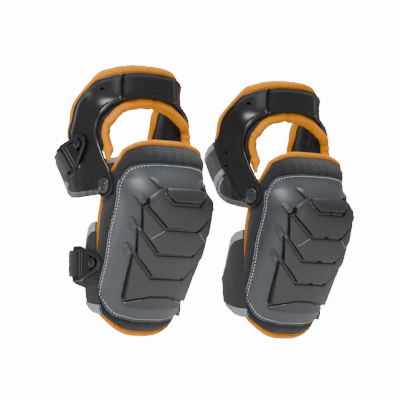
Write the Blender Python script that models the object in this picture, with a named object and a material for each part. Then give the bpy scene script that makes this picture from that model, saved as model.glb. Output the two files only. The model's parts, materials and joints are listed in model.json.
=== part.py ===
"""A pair of hinged knee pads: two mirrored pads, each with a thigh cuff and two clip straps.

The frame: +Z up, the knee pads face -Y, X = 0 halfway between the pads, Z = 0 on the hinge axis
of both cuffs. Every dimension below is in millimetres and is turned to metres when a mesh is made.
Each pad is described once, with its outer (clip) side at -X, and mirrored for the right pad.
"""

import math

import bmesh
import bpy
import numpy as np

METRES = 0.001
GAP = 0.4                      # between neighbouring pieces
LAYER_GAP = 2.4                # between curved layers, whose facets differ

PAD_SPACING = 257.0            # between the two pads' middle planes

# The cover's outer face, by height: front line, half width and rear edge of each level section.
PAD_FRONT = ((-190, 25), (-173, 14), (-139, -6), (-116, -20), (-86, -38), (-54, -52), (-21, -61),
             (0, -55), (24, -39), (45, -33), (60, -28))
PAD_HALF_WIDTH = ((-190, 56), (-150, 65), (-120, 69), (-80, 71.5), (-40, 72), (0, 72), (22, 70.5),
                  (45, 66), (60, 61))
PAD_REAR = ((-190, 46), (-150, 40), (-80, 29), (-40, 23), (-20, 18), (0, 14), (22, -3), (45, -16),
            (60, -20))
PAD_TOP, PAD_TOP_DROP = 60.0, 15.0
PAD_BOTTOM, PAD_BOTTOM_RISE = -188.0, 40.0
PAD_DEPTH_RATIO = 0.85         # depth of the curved front over the half width
PAD_ROUNDNESS = 2.3            # exponent of the section's superellipse
BINDING_WIDTH = 7.5
COVER_THICKNESS = 4.5
LINER_BACK_MIDDLE, LINER_BACK_EDGE = 15.0, 8.8

FLANGE_OUTLINE = ((-167.5, 22), (-161, 51), (-141, 75), (-137, 80), (-97, 87), (-60, 94),
                  (-28, 93), (-6, 88), (4, 82), (21, 65), (26, 48), (27.5, 28))
FLANGE_LIFT, FLANGE_THICKNESS = 1.8, 1.5

# The cap's plates as rows of (distance from the middle, height above the hinge), outside to middle.
CAP_PLATES = (
    (((29, -8), (27, -8), (24, -8), (20, -8), (0, -8)),
     ((31, -13), (28, -15), (25, -17.5), (20, -21), (0, -21))),
    (((54, -19), (36, -8), (30, -19), (21.5, -26), (0, -26)),
     ((54, -23.5), (45, -32), (36, -40), (25, -50), (0, -50))),
    (((60, -24), (48, -36.5), (38, -45.5), (26.5, -55), (0, -55)),
     ((55, -52), (47, -61), (38, -70), (28, -80), (0, -80))),
    (((60, -53), (49, -65), (40, -74.5), (29, -85), (0, -85)),
     ((54, -81), (45, -89.5), (35, -98), (24.5, -108), (0, -108))),
    (((58, -83), (47, -94), (37, -103), (26, -113), (0, -113)),
     ((50, -138), (40, -136.5), (28, -134), (16, -131), (0, -131))),
    (((48, -142), (38, -140.5), (27, -138), (16, -135), (0, -135)),
     ((47, -143.5), (38, -147), (26, -149), (14, -150), (0, -150))),
)
CAP_UNDERSIDE = 6.3
CAP_GROOVE_FLOOR = 7.5
CAP_TOP_EDGE, CAP_LOW_EDGE = 8.6, 11.4     # a plate stands higher along its lower edge
CAP_RIM = 7.4                              # height of the plates' outer ends
CAP_GROOVE_SLOPE = 1.0

# The cuff's outer face, by height, and its outline as stations from the middle to the hinge.
CUFF_FRONT = ((0, -75), (20, -68), (45, -50), (66, -35), (86, -22), (96, -12), (104, -5),
              (112, -1), (125, 0), (165, 0))
CUFF_HALF_WIDTH = 78.6
CUFF_DEPTH = 50.0
CUFF_ROUNDNESS = 2.4
CUFF_REACH = 130.0
# Each station: opening edge and outer edge, as ("a", distance from the middle along the face,
# height) or ("y", y, height).
CUFF_STATIONS = (
    (("a", 0, 116), ("a", 0, 147)),
    (("a", 14, 115.6), ("a", 13, 147)),
    (("a", 28, 113.8), ("a", 26, 146.5)),
    (("a", 42, 111), ("a", 40, 145)),
    (("a", 45.5, 110.2), ("a", 43.5, 144.5)),
    (("a", 49, 109.2), ("a", 47, 144)),
    (("a", 60, 105), ("a", 60, 141)),
    (("a", 73, 97.5), ("a", 78, 135)),
    (("y", 13, 88), ("y", 43, 119)),
    (("y", 16, 77), ("y", 62, 96)),
    (("y", 17, 67), ("y", 71, 71)),
    (("y", 14, 56), ("y", 63, 53)),
    (("y", 8, 44), ("y", 53.5, 37)),
    (("y", 2, 33), ("y", 44.5, 22)),
    (("y", -6, 22), ("y", 35.5, 8)),
    (("y", -11, 10), ("y", 22, -6)),
)
RIDGE_STATION = 4              # the V groove beside the middle panel
CUFF_THICKNESS, CUFF_LIP, CUFF_LIP_WIDTH = 3.0, 1.4, 0.12
CUFF_HOLE_RADIUS = 2.0
CUFF_FRONT_HOLE = (72, 124)    # along the face and height
CUFF_WING_HOLES = ((50, 60), (50, 42))     # y and height
CUSHION_BACK = 14.0
CUSHION_LAST_STATION = 12
TOP_BINDING_REACH, OPENING_BINDING_REACH, CUFF_BINDING_WIDTH = 11.0, 12.0, 8.0

BOSS_RADIUS, BOSS_FACE = 15.0, 80.0
RIVET_HEAD_RADIUS, RIVET_HEAD_THICKNESS, RIVET_SHAFT_RADIUS = 9.8, 2.8, 4.0
HINGE_HOLE_RADIUS = 4.4
ANCHOR_RADIUS, ANCHOR_FACES = 9.5, (72.6, 74.1)
WASHER_RADIUS, WASHER_FACES = 9.5, (74.4, 75.2)

# Clips: outline in the clip's own plane, u towards the stud and v along the strap bar.
CLIP_THICKNESS = 4.6
CLIP_BAR_HALF, CLIP_BAR_WIDTH = 22.5, 2.6
CLIP_STUD_DISTANCE, CLIP_NOSE_RADIUS, CLIP_WINDOW_RADIUS = 36.0, 12.6, 7.2
CLIP_SLOT_HALF, CLIP_SLOT_END, CLIP_CROSSBAR = 17.6, 9.5, 2.8
STUD_SHAFT_RADIUS, STUD_HEAD_RADIUS = 4.6, 6.2
LOOP_RADIUS, STRAP_THICKNESS = 4.8, 1.6
TAIL_LENGTH = 9.0
LOOP_WIDTH = 34.0

THIGH_BAR, THIGH_TILT = (-82.4, 74.0, 32.0), math.radians(40)
CALF_BAR, CALF_TILT = (-78.0, 58.0, -96.0), 0.0
# Strap routes behind the leg: x, y, z, tilt of the strap's width from upright, width.
THIGH_ROUTE = ((-75.5, 87, 22, 38, 38), (-66, 98.5, 16, 32, 43), (-50, 109, 13.5, 24, 46),
               (-28, 117, 15.5, 12, 46), (0, 120, 20, 2, 46), (24, 116.5, 24, 10, 46),
               (46, 109, 29.5, 22, 46), (61, 99.5, 34.3, 30, 46), (67, 93, 37.7, 30, 46),
               (72.8, 85, 42.3, 30, 46), (76.3, 76, 47.5, 30, 46), (77, 67, 52.7, 30, 46))
CALF_ROUTE = ((-74.5, 67, -97, 0, 36), (-66, 76, -99, 0, 39), (-50, 85, -102, 0, 40),
              (-27, 93, -105, 0, 40), (0, 97, -107, 0, 40), (26, 95, -109, 0, 40),
              (44, 86, -110, 0, 40), (54, 76.5, -111, 0, 40), (59.4, 66, -112, 0, 40),
              (63.5, 54, -112, 0, 40), (66, 44, -112, 0, 40))
WING_THICKNESS = 1.6
# Calf wings: y, top and bottom height at each station; they bend in behind the pad's edge.
OUTER_CALF_WING = ((21, -44, -160), (30, -46, -159), (37, -52, -157), (44, -76, -153),
                   (50, -106, -148))
INNER_CALF_WING = ((21, -44, -160), (36, -47, -158), (48, -54, -155), (56, -72, -151),
                   (64, -88, -147), (72, -98, -142), (80, -106, -135))
CALF_WING_BEND, CALF_WING_BEND_START = 0.0042, 20.0
CALF_WING_LIFT = 2.4
THIGH_WING = (44.0, 102.0, 26.0, math.radians(30))      # from y, to y, half height, slope
THIGH_WING_START_HEIGHT = 66.0
THIGH_WING_BEND, THIGH_WING_BEND_START = 0.018, 68.0

BLACK_FABRIC, ORANGE_TAPE = (0.035, 0.035, 0.038), (0.78, 0.33, 0.05)
BLACK_PLASTIC, CHARCOAL = (0.02, 0.02, 0.022), (0.05, 0.05, 0.055)
GREY_PLATE, FOAM_GREY, GEL_BLUE = (0.12, 0.13, 0.14), (0.2, 0.2, 0.21), (0.25, 0.4, 0.6)
STEEL_GREY, ELASTIC_BLACK = (0.1, 0.1, 0.105), (0.025, 0.025, 0.028)

sections = {}


def smooth_value(rows, at):
    """Value of a table of (height, value) rows at a height, on a smooth curve through them."""
    heights = [row[0] for row in rows]
    at = min(max(at, heights[0]), heights[-1])
    i = min(max(int(np.searchsorted(heights, at)) - 1, 0), len(rows) - 2)

    def slope(k):
        before, after = rows[max(k - 1, 0)], rows[min(k + 1, len(rows) - 1)]
        return (after[1] - before[1]) / (after[0] - before[0])

    (z0, v0), (z1, v1) = rows[i], rows[i + 1]
    span = z1 - z0
    t = (at - z0) / span
    rise = slope(i) * span * (t ** 3 - 2 * t ** 2 + t) + slope(i + 1) * span * (t ** 3 - t ** 2)
    return v0 + (v1 - v0) * (3 * t ** 2 - 2 * t ** 3) + rise


def section(kind, z):
    """Half of a level section, middle to rear: its points and the distances along it."""
    key = (kind, round(z, 2))
    if key not in sections:
        if kind == "pad":
            front, width = smooth_value(PAD_FRONT, z), smooth_value(PAD_HALF_WIDTH, z)
            rear = smooth_value(PAD_REAR, z)
            depth, power = min(PAD_DEPTH_RATIO * width, max(rear - front, 8)), PAD_ROUNDNESS
        else:
            front, width, rear = smooth_value(CUFF_FRONT, z), CUFF_HALF_WIDTH, CUFF_REACH
            depth, power = CUFF_DEPTH, CUFF_ROUNDNESS
        angles = np.linspace(0, math.pi / 2, 61)
        x = width * np.sin(angles) ** (2 / power)
        y = front + depth - depth * np.clip(np.cos(angles), 0, 1) ** (2 / power)
        if rear > front + depth + 0.5:
            x, y = np.append(x, width), np.append(y, rear)
        along = np.concatenate([[0], np.cumsum(np.hypot(np.diff(x), np.diff(y)))])
        sections[key] = (x, y, along)
    return sections[key]


def reach(kind, z):
    """Distance along the section from the middle to the rear edge."""
    return section(kind, z)[2][-1]


def along_at_y(kind, y, z):
    _, ys, along = section(kind, z)
    return float(np.interp(y, ys, along))


def on_section(kind, a, z):
    xs, ys, along = section(kind, z)
    return np.array([math.copysign(np.interp(abs(a), along, xs), a), np.interp(abs(a), along, ys), z])


def on_face(kind, a, z, lift=0.0):
    """Point on the pad's or cuff's face, lifted along its outward normal."""
    step = 1.5
    across = on_section(kind, a + step, z) - on_section(kind, a - step, z)
    up = on_section(kind, a, z + step) - on_section(kind, a, z - step)
    if abs(a) + step > reach(kind, z):
        across = on_section(kind, a, z) - on_section(kind, a - math.copysign(step, a), z)
        across *= math.copysign(1, a)
    normal = np.cross(across, up)
    return on_section(kind, a, z) + lift * normal / np.linalg.norm(normal)


def pad_grid_point(u, v, lift):
    """Point on the pad's face: u from -1 to 1 across, v from 0 at the bottom to 1 at the top."""
    low = PAD_BOTTOM + PAD_BOTTOM_RISE * abs(u) ** 3
    high = PAD_TOP - PAD_TOP_DROP * u ** 4
    z = low + (high - low) * v
    return on_face("pad", u * reach("pad", z), z, lift)


def pad_margin(u, v, inset):
    """The grid place that lies inset millimetres in from the pad's edge, for a place on the edge."""
    height = PAD_TOP - PAD_BOTTOM
    shrink_u = 1 - inset / reach("pad", PAD_BOTTOM + height * v)
    margin_v = inset / (height - (PAD_TOP_DROP + PAD_BOTTOM_RISE) * abs(u) ** 4)
    return u * shrink_u, margin_v + v * (1 - 2 * margin_v)


class Pad:
    """Makes the pieces of one pad, mirrored for the right one."""

    def __init__(self, name, side):
        self.name, self.side = name, side

    def world(self, point):
        x, y, z = point
        outward = PAD_SPACING / 2
        return (METRES * self.side * (x - outward), METRES * y, METRES * z)

    def solid(self, name, vertices, faces, material, smooth=40.0):
        """A closed mesh object in metres with outward faces and its origin where its joint is."""
        mesh = bpy.data.meshes.new(f"{self.name}_{name}")
        mesh.from_pydata([self.world(v) for v in vertices], [], faces)
        work = bmesh.new()
        work.from_mesh(mesh)
        bmesh.ops.remove_doubles(work, verts=work.verts, dist=1e-6)
        bmesh.ops.recalc_face_normals(work, faces=work.faces)
        work.to_mesh(mesh)
        work.free()
        mesh.shade_smooth()
        mesh.set_sharp_from_angle(angle=math.radians(smooth))
        mesh.materials.append(material)
        piece = bpy.data.objects.new(mesh.name, mesh)
        bpy.context.scene.collection.objects.link(piece)
        return piece

    def slab(self, name, top, bottom, material, closed=False):
        """A solid between two grids of points; closed joins the last row to the first."""
        rows, columns = len(top), len(top[0])
        vertices = [p for row in top for p in row] + [p for row in bottom for p in row]
        under = rows * columns

        def index(i, j):
            return (i % rows) * columns + j

        faces = []
        spans = rows if closed else rows - 1
        for i in range(spans):
            for j in range(columns - 1):
                quad = (index(i, j), index(i + 1, j), index(i + 1, j + 1), index(i, j + 1))
                faces += [quad, tuple(under + k for k in reversed(quad))]
            for j in (0, columns - 1):
                faces.append((index(i, j), index(i + 1, j), under + index(i + 1, j), under + index(i, j)))
        if not closed:
            for i in (0, rows - 1):
                for j in range(columns - 1):
                    ends = (index(i, j), index(i, j + 1))
                    faces.append((*ends, under + ends[1], under + ends[0]))
        return self.solid(name, vertices, faces, material)

    def disc(self, name, centre, radius, thickness, material, sides=20, dome=0.0):
        """A round piece whose axis runs along X, from centre outwards by thickness."""
        x, y, z = centre
        away = math.copysign(1, x)
        rings = [(0, radius), (thickness - dome, radius), (thickness, radius - 1.5 * dome)]
        if not dome:
            rings = rings[:2]
        vertices = []
        for out, r in rings:
            for k in range(sides):
                turn = 2 * math.pi * k / sides
                vertices.append((x + away * out, y + r * math.cos(turn), z + r * math.sin(turn)))
        faces = [tuple(range(sides)), tuple(reversed(range(len(vertices) - sides, len(vertices))))]
        for level in range(len(rings) - 1):
            for k in range(sides):
                a, b = level * sides + k, level * sides + (k + 1) % sides
                faces.append((a, b, b + sides, a + sides))
        return self.solid(name, vertices, faces, material)

    def boolean(self, piece, tool, operation):
        tool.hide_render = True
        tool.hide_viewport = True
        tool.display_type = "WIRE"
        change = piece.modifiers.new(f"{operation.lower()}_{tool.name}", "BOOLEAN")
        change.operation = operation
        change.object = tool
        change.solver = "EXACT"


def spread(low, high, count):
    return [low + (high - low) * k / (count - 1) for k in range(count)]


def make_material(name, colour, roughness, metallic=0.0):
    material = bpy.data.materials.new(name)
    material.use_nodes = True
    shader = material.node_tree.nodes["Principled BSDF"]
    shader.inputs["Base Color"].default_value = (*colour, 1)
    shader.inputs["Roughness"].default_value = roughness
    shader.inputs["Metallic"].default_value = metallic
    return material


# --- the pad -------------------------------------------------------------------------------------

def liner_back(u, v):
    """The liner thins towards the pad's edge."""
    middle = (1 - abs(u) ** 3) * (1 - abs(2 * v - 1) ** 4)
    return LINER_BACK_EDGE + (LINER_BACK_MIDDLE - LINER_BACK_EDGE) * middle


def pad_layer(pad, name, front, back, material, columns, rows):
    """One layer of the pad inside the binding, between two depths below its face."""
    grids = ([], [])
    for v in spread(0, 1, rows):
        for grid, depth in zip(grids, (front, back)):
            line = []
            for u in spread(-1, 1, columns):
                place = pad_margin(u, v, BINDING_WIDTH + LAYER_GAP)
                line.append(pad_grid_point(*place, -depth(u, v)))
            grid.append(line)
    return pad.slab(name, *grids, material)


def make_binding(pad, material):
    """The tape round the whole edge: four runs of stations along the pad's outline."""
    across, upward = spread(-1, 1, 15)[:-1], spread(0, 1, 13)[:-1]
    outline = [(u, 0) for u in across] + [(1, v) for v in upward]
    outline += [(-u, 1) for u in across] + [(-1, 1 - v) for v in upward]
    front, back = [], []
    for u, v in outline:
        inner = pad_margin(u, v, BINDING_WIDTH)
        front.append([pad_grid_point(u, v, 0), pad_grid_point(*inner, 0.2)])
        back.append([pad_grid_point(u, v, -8.6), pad_grid_point(*inner, -LINER_BACK_EDGE - 0.6)])
    pad.slab("pad_binding", front, back, material, closed=True)


def make_gel_insert(pad, material):
    """A soft disc behind the liner, over the kneecap."""
    half_width, half_height, middle = 36.0, 46.0, -28.0
    front, back = [], []
    for a in spread(-0.85 * half_width, 0.85 * half_width, 9):
        tall = half_height * math.sqrt(1 - (a / half_width) ** 2)
        heights = [middle + tall * t for t in spread(-1, 1, 7)]
        front.append([on_face("pad", a, z, -17.2) for z in heights])
        back.append([on_face("pad", a, z, -21.6) for z in heights])
    pad.slab("gel_insert", front, back, material)


def make_flange(pad, material):
    front, back = [], []
    heights = [-167.5, -164.5, -159, -148, -137] + spread(-118, -6, 7) + [5, 14, 21, 25, 27.5]
    for z in heights:
        half = smooth_value(FLANGE_OUTLINE, z)
        places = [half * t for t in spread(-1, 1, 15)]
        front.append([on_face("pad", a, z, FLANGE_LIFT + FLANGE_THICKNESS) for a in places])
        back.append([on_face("pad", a, z, FLANGE_LIFT) for a in places])
    pad.slab("flange_plate", front, back, material)


def cap_rows():
    """The cap's rows from top to bottom, each a row of places and the height of its middle."""
    rows = []
    for n, (upper, lower) in enumerate(CAP_PLATES):
        if n:
            rows.append(([(a, z + CAP_GROOVE_SLOPE) for a, z in upper], CAP_GROOVE_FLOOR))
        rows.append((upper, CAP_TOP_EDGE))
        rows.append((lower, CAP_LOW_EDGE if n < 5 else CAP_TOP_EDGE - 1))
        if n < len(CAP_PLATES) - 1:
            rows.append(([(a, z - CAP_GROOVE_SLOPE) for a, z in lower], CAP_GROOVE_FLOOR))
    return rows


def make_cap(pad, material):
    """Stacked plates with grooves between them, falling to a thin rim at both ends."""
    front, back = [], []
    for places, lift in cap_rows():
        ends = [min(CAP_RIM, lift), lift - 0.8, lift, lift, lift]
        half = [(a, z, h) for (a, z), h in zip(places, ends)]
        line = [(-a, z, h) for a, z, h in half[:-1]] + list(reversed(half))
        front.append([on_face("pad", a, z, h) for a, z, h in line])
        back.append([on_face("pad", a, z, CAP_UNDERSIDE) for a, z, _ in line])
    pad.slab("knee_cap", front, back, material)


# --- the cuff ------------------------------------------------------------------------------------

def cuff_edge(edge):
    kind, value, z = edge
    return (value, z) if kind == "a" else (along_at_y("cuff", value, z), z)


def cuff_stations(last=len(CUFF_STATIONS)):
    """Opening edge and outer edge as flat places, from the outer side's hinge to the inner one's."""
    half = [(np.array(cuff_edge(low)), np.array(cuff_edge(high))) for low, high in CUFF_STATIONS[:last]]
    mirrored = [tuple(place * (-1, 1) for place in pair) for pair in reversed(half[1:])]
    return mirrored + half


def cuff_band(pad, name, start, end, lifts, material, last, steps=4):
    """A strip of the cuff; start and end give, for a station's edges, the strip's two edges."""
    front, back = [], []
    for low, high in cuff_stations(last):
        first, second = start(low, high), end(low, high)
        places = [first + (second - first) * t for t in spread(0, 1, steps)]
        front.append([on_face("cuff", a, z, lifts[0]) for a, z in places])
        back.append([on_face("cuff", a, z, lifts[1]) for a, z in places])
    return pad.slab(name, front, back, material)


def beyond(edge, other, distance):
    """The place that lies distance past an edge, away from the other edge."""
    way = edge - other
    return edge + way * distance / np.linalg.norm(way)


def make_cuff_frame(pad, material):
    fractions = (0, CUFF_LIP_WIDTH, CUFF_LIP_WIDTH + 0.04, 0.96 - CUFF_LIP_WIDTH,
                 1 - CUFF_LIP_WIDTH, 1)
    lips = (CUFF_LIP, CUFF_LIP, 0, 0, CUFF_LIP, CUFF_LIP)
    front, back = [], []
    stations = cuff_stations()
    middle = len(CUFF_STATIONS) - 1
    for n, (low, high) in enumerate(stations):
        places = [low + (high - low) * t for t in fractions]
        ridge = -1.2 if abs(n - middle) == RIDGE_STATION else 0
        rises = [lip + ridge * (lip == 0) for lip in lips]
        front.append([on_face("cuff", a, z, h) for (a, z), h in zip(places, rises)])
        back.append([on_face("cuff", a, z, -CUFF_THICKNESS) for a, z in places])
    frame = pad.slab("cuff_frame", front, back, material)
    inner_face = CUFF_HALF_WIDTH - CUFF_THICKNESS
    for x in (-1, 1):
        where = "outer" if x < 0 else "inner"
        boss = pad.disc(f"{where}_boss", (x * inner_face, 0, 0), BOSS_RADIUS,
                        BOSS_FACE - inner_face, material, sides=24)
        pad.boolean(frame, boss, "UNION")
        bore = pad.disc(f"{where}_bore", (x * 60, 0, 0), HINGE_HOLE_RADIUS, 40, material,
                        sides=16)
        pad.boolean(frame, bore, "DIFFERENCE")
        front_hole = on_face("cuff", x * CUFF_FRONT_HOLE[0], CUFF_FRONT_HOLE[1])
        drill = pad.disc(f"{where}_front_drill", (x * 40, front_hole[1], front_hole[2]),
                         CUFF_HOLE_RADIUS, 60, material, sides=8)
        pad.boolean(frame, drill, "DIFFERENCE")
    for n, (y, z) in enumerate(CUFF_WING_HOLES):
        drill = pad.disc(f"wing_drill_{n}", (60, y, z), CUFF_HOLE_RADIUS, 40, material, sides=8)
        pad.boolean(frame, drill, "DIFFERENCE")


def make_cuff_soft_parts(pad, fabric, tape):
    last = CUSHION_LAST_STATION
    top_inner = TOP_BINDING_REACH - CUFF_BINDING_WIDTH
    low_inner = OPENING_BINDING_REACH - CUFF_BINDING_WIDTH
    cuff_band(pad, "cuff_cushion",
              lambda low, high: beyond(low, high, low_inner - GAP),
              lambda low, high: beyond(high, low, top_inner - GAP),
              (-CUFF_THICKNESS - 2.4, -CUSHION_BACK), fabric, last, steps=5)
    cuff_band(pad, "cuff_opening_binding",
              lambda low, high: beyond(low, high, OPENING_BINDING_REACH),
              lambda low, high: beyond(low, high, low_inner),
              (-CUFF_THICKNESS - 2.4, -CUSHION_BACK - 0.6), tape, last, steps=3)
    cuff_band(pad, "cuff_top_binding",
              lambda low, high: beyond(high, low, top_inner),
              lambda low, high: beyond(high, low, TOP_BINDING_REACH),
              (-CUFF_THICKNESS - 2.4, -CUSHION_BACK - 0.6), tape, last, steps=3)


def make_hinges(pad, steel, nylon):
    for x in (-1, 1):
        where = "outer" if x < 0 else "inner"
        face = BOSS_FACE + GAP
        shaft_start = ANCHOR_FACES[1] + GAP
        head = pad.disc(f"{where}_hinge_rivet", (x * face, 0, 0), RIVET_HEAD_RADIUS,
                        RIVET_HEAD_THICKNESS, steel, sides=24, dome=0.8)
        shaft = pad.disc(f"{where}_shaft", (x * shaft_start, 0, 0), RIVET_SHAFT_RADIUS,
                         face - shaft_start + 1, steel, sides=16)
        pad.boolean(head, shaft, "UNION")
        pad.disc(f"{where}_hinge_anchor", (x * ANCHOR_FACES[0], 0, 0), ANCHOR_RADIUS,
                 ANCHOR_FACES[1] - ANCHOR_FACES[0], nylon)
        washer = pad.disc(f"{where}_hinge_washer", (x * WASHER_FACES[0], 0, 0), WASHER_RADIUS,
                          WASHER_FACES[1] - WASHER_FACES[0], nylon)
        bore = pad.disc(f"{where}_washer_bore", (x * (WASHER_FACES[0] - 1), 0, 0),
                        HINGE_HOLE_RADIUS, 4, nylon, sides=16)
        pad.boolean(washer, bore, "DIFFERENCE")


# --- clips, studs, wings and straps --------------------------------------------------------------

def arc(centre, radius, start, end, count):
    cu, cv = centre
    return [(cu + radius * math.cos(t), cv + radius * math.sin(t)) for t in spread(start, end, count)]


class ClipPlane:
    """A clip's plane: origin on the strap bar, u towards the stud, v along the bar, n outwards."""

    def __init__(self, bar, tilt):
        self.origin = np.array(bar, float)
        self.u = np.array([0, -math.cos(tilt), math.sin(tilt)])
        self.v = np.array([0, math.sin(tilt), math.cos(tilt)])
        self.n = np.array([-1.0, 0, 0])

    def at(self, u, v, n=0.0):
        return self.origin + u * self.u + v * self.v + n * self.n


def clip_outlines():
    """Outer outline and window outline of a clip, with the same number of points."""
    quarter = math.radians(62)
    nose = arc((CLIP_STUD_DISTANCE, 0), CLIP_NOSE_RADIUS, -quarter, quarter, 9)
    outer = [(-CLIP_BAR_WIDTH, -CLIP_BAR_HALF + 2), (-CLIP_BAR_WIDTH + 2, -CLIP_BAR_HALF),
             (9, -CLIP_BAR_HALF)] + nose
    outer += [(9, CLIP_BAR_HALF), (-CLIP_BAR_WIDTH + 2, CLIP_BAR_HALF),
              (-CLIP_BAR_WIDTH, CLIP_BAR_HALF - 2)]
    tip = arc((CLIP_STUD_DISTANCE, 0), CLIP_WINDOW_RADIUS, -quarter, quarter, 9)
    window = [(CLIP_BAR_WIDTH, -CLIP_SLOT_HALF + 1), (CLIP_BAR_WIDTH + 1, -CLIP_SLOT_HALF),
              (CLIP_SLOT_END, -CLIP_SLOT_HALF)] + tip
    window += [(CLIP_SLOT_END, CLIP_SLOT_HALF), (CLIP_BAR_WIDTH + 1, CLIP_SLOT_HALF),
               (CLIP_BAR_WIDTH, CLIP_SLOT_HALF - 1)]
    return outer, window


def make_clip(pad, name, plane, material):
    outer, window = clip_outlines()
    half = CLIP_THICKNESS / 2
    bevel = 0.9
    grids = ([], [])
    for (ou, ov), (wu, wv) in zip(outer, window):
        length = math.hypot(wu - ou, wv - ov)
        for grid, n in zip(grids, (half, -half)):
            sign = math.copysign(bevel, n)
            edge = [plane.at(ou, ov, n - sign), plane.at(wu, wv, n - sign)]
            t = bevel / length
            inside = [plane.at(ou + (wu - ou) * s, ov + (wv - ov) * s, n) for s in (t, 1 - t)]
            grid.append([edge[0], *inside, edge[1]])
    clip = pad.slab(name, *grids, material, closed=True)
    bar_u = (CLIP_SLOT_END, CLIP_SLOT_END + CLIP_CROSSBAR)
    reach_v = CLIP_SLOT_HALF + 1
    corners = [[plane.at(u, v, 1.6) for v in (-reach_v, reach_v)] for u in bar_u]
    under = [[plane.at(u, v, -1.6) for v in (-reach_v, reach_v)] for u in bar_u]
    crossbar = pad.slab(f"{name}_crossbar", corners, under, material)
    pad.boolean(clip, crossbar, "UNION")


def make_stud(pad, name, plane, base, material):
    """A round button: its shaft stands on the face at x = base, its head is outside the clip."""
    _, y, z = plane.at(CLIP_STUD_DISTANCE, 0)
    head_x = plane.origin[0] - CLIP_THICKNESS / 2 - 0.8
    head = pad.disc(name, (head_x, y, z), STUD_HEAD_RADIUS, 2.4, material, sides=16,
                    dome=0.8)
    shaft = pad.disc(f"{name}_shaft", (base, y, z), STUD_SHAFT_RADIUS, abs(head_x - base) + 1,
                     material, sides=12)
    pad.boolean(head, shaft, "UNION")


def strap_stations(plane, route):
    """Centre line and width direction of a strap: tail, loop round the clip's bar, then its route."""
    stations = []
    along = plane.v
    for u in spread(-TAIL_LENGTH, -6, 2):
        rise = 1.5 + (LOOP_RADIUS - 1.5) * (u + TAIL_LENGTH) / (TAIL_LENGTH - 6)
        stations.append((plane.at(u, 0, rise), along, LOOP_WIDTH))
    for turn in spread(math.pi / 2, -math.pi / 2, 9):
        place = plane.at(LOOP_RADIUS * math.cos(turn), 0, LOOP_RADIUS * math.sin(turn))
        stations.append((place, along, LOOP_WIDTH))
    stations.append((plane.at(-6, 0, -LOOP_RADIUS + 0.6), along, LOOP_WIDTH))
    for x, y, z, tilt, width in route:
        turn = math.radians(tilt)
        stations.append((np.array([x, y, z], float),
                         np.array([0, math.sin(turn), math.cos(turn)]), width))
    return stations


def smooth_route(stations, steps=2):
    """The stations with points between them on a Catmull-Rom curve."""
    values = [np.concatenate([place, along, [width]]) for place, along, width in stations]
    finer = []
    for i in range(len(values) - 1):
        p0, p1 = values[max(i - 1, 0)], values[i]
        p2, p3 = values[i + 1], values[min(i + 2, len(values) - 1)]
        for k in range(steps):
            t = k / steps
            bend = (2 * p0 - 5 * p1 + 4 * p2 - p3) * t ** 2 + (3 * p1 - p0 - 3 * p2 + p3) * t ** 3
            finer.append(0.5 * (2 * p1 + (p2 - p0) * t + bend))
    return finer + [values[-1]]


def make_strap(pad, name, plane, route, material):
    stations = strap_stations(plane, route)
    head = len(stations) - len(route)
    lines = [np.concatenate([p, a, [w]]) for p, a, w in stations[:head]]
    lines += smooth_route(stations[head - 1:])[1:]
    front, back = [], []
    for n, line in enumerate(lines):
        before, after = lines[max(n - 1, 0)][:3], lines[min(n + 1, len(lines) - 1)][:3]
        along = line[3:6] / np.linalg.norm(line[3:6])
        normal = np.cross(after - before, along)
        normal *= STRAP_THICKNESS / 2 / np.linalg.norm(normal)
        edges = [line[:3] + along * line[6] * s for s in (-0.5, 0.5)]
        front.append([edge + normal for edge in edges])
        back.append([edge - normal for edge in edges])
    pad.slab(name, front, back, material)


def make_calf_wing(pad, name, side, rows, material):
    """A fabric wing outside the pad's rear edge; side is -1 on the outer side."""
    front, back = [], []
    for y, high, low in rows:
        bend = CALF_WING_BEND * max(y - CALF_WING_BEND_START, 0) ** 2
        for grid, lift in ((front, CALF_WING_LIFT + WING_THICKNESS), (back, CALF_WING_LIFT)):
            grid.append([(side * (smooth_value(PAD_HALF_WIDTH, z) + lift - bend), y, z)
                         for z in spread(high, low, 9)])
    pad.slab(name, front, back, material)


def make_thigh_wing(pad, material):
    """The fabric wing between the frame's inner arm and its cushion, sloping down to the rear."""
    start, end, half, slope = THIGH_WING
    outer_face = CUFF_HALF_WIDTH - CUFF_THICKNESS - GAP
    front, back = [], []
    for y in spread(start, end, 11):
        centre = THIGH_WING_START_HEIGHT - (y - start) * math.tan(slope)
        bend = THIGH_WING_BEND * max(y - THIGH_WING_BEND_START, 0) ** 2
        for grid, x in ((front, outer_face), (back, outer_face - WING_THICKNESS)):
            grid.append([(x - bend, y + half * t * math.sin(slope), centre + half * t * math.cos(slope))
                         for t in spread(-1, 1, 3)])
    pad.slab("thigh_wing", front, back, material)


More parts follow.
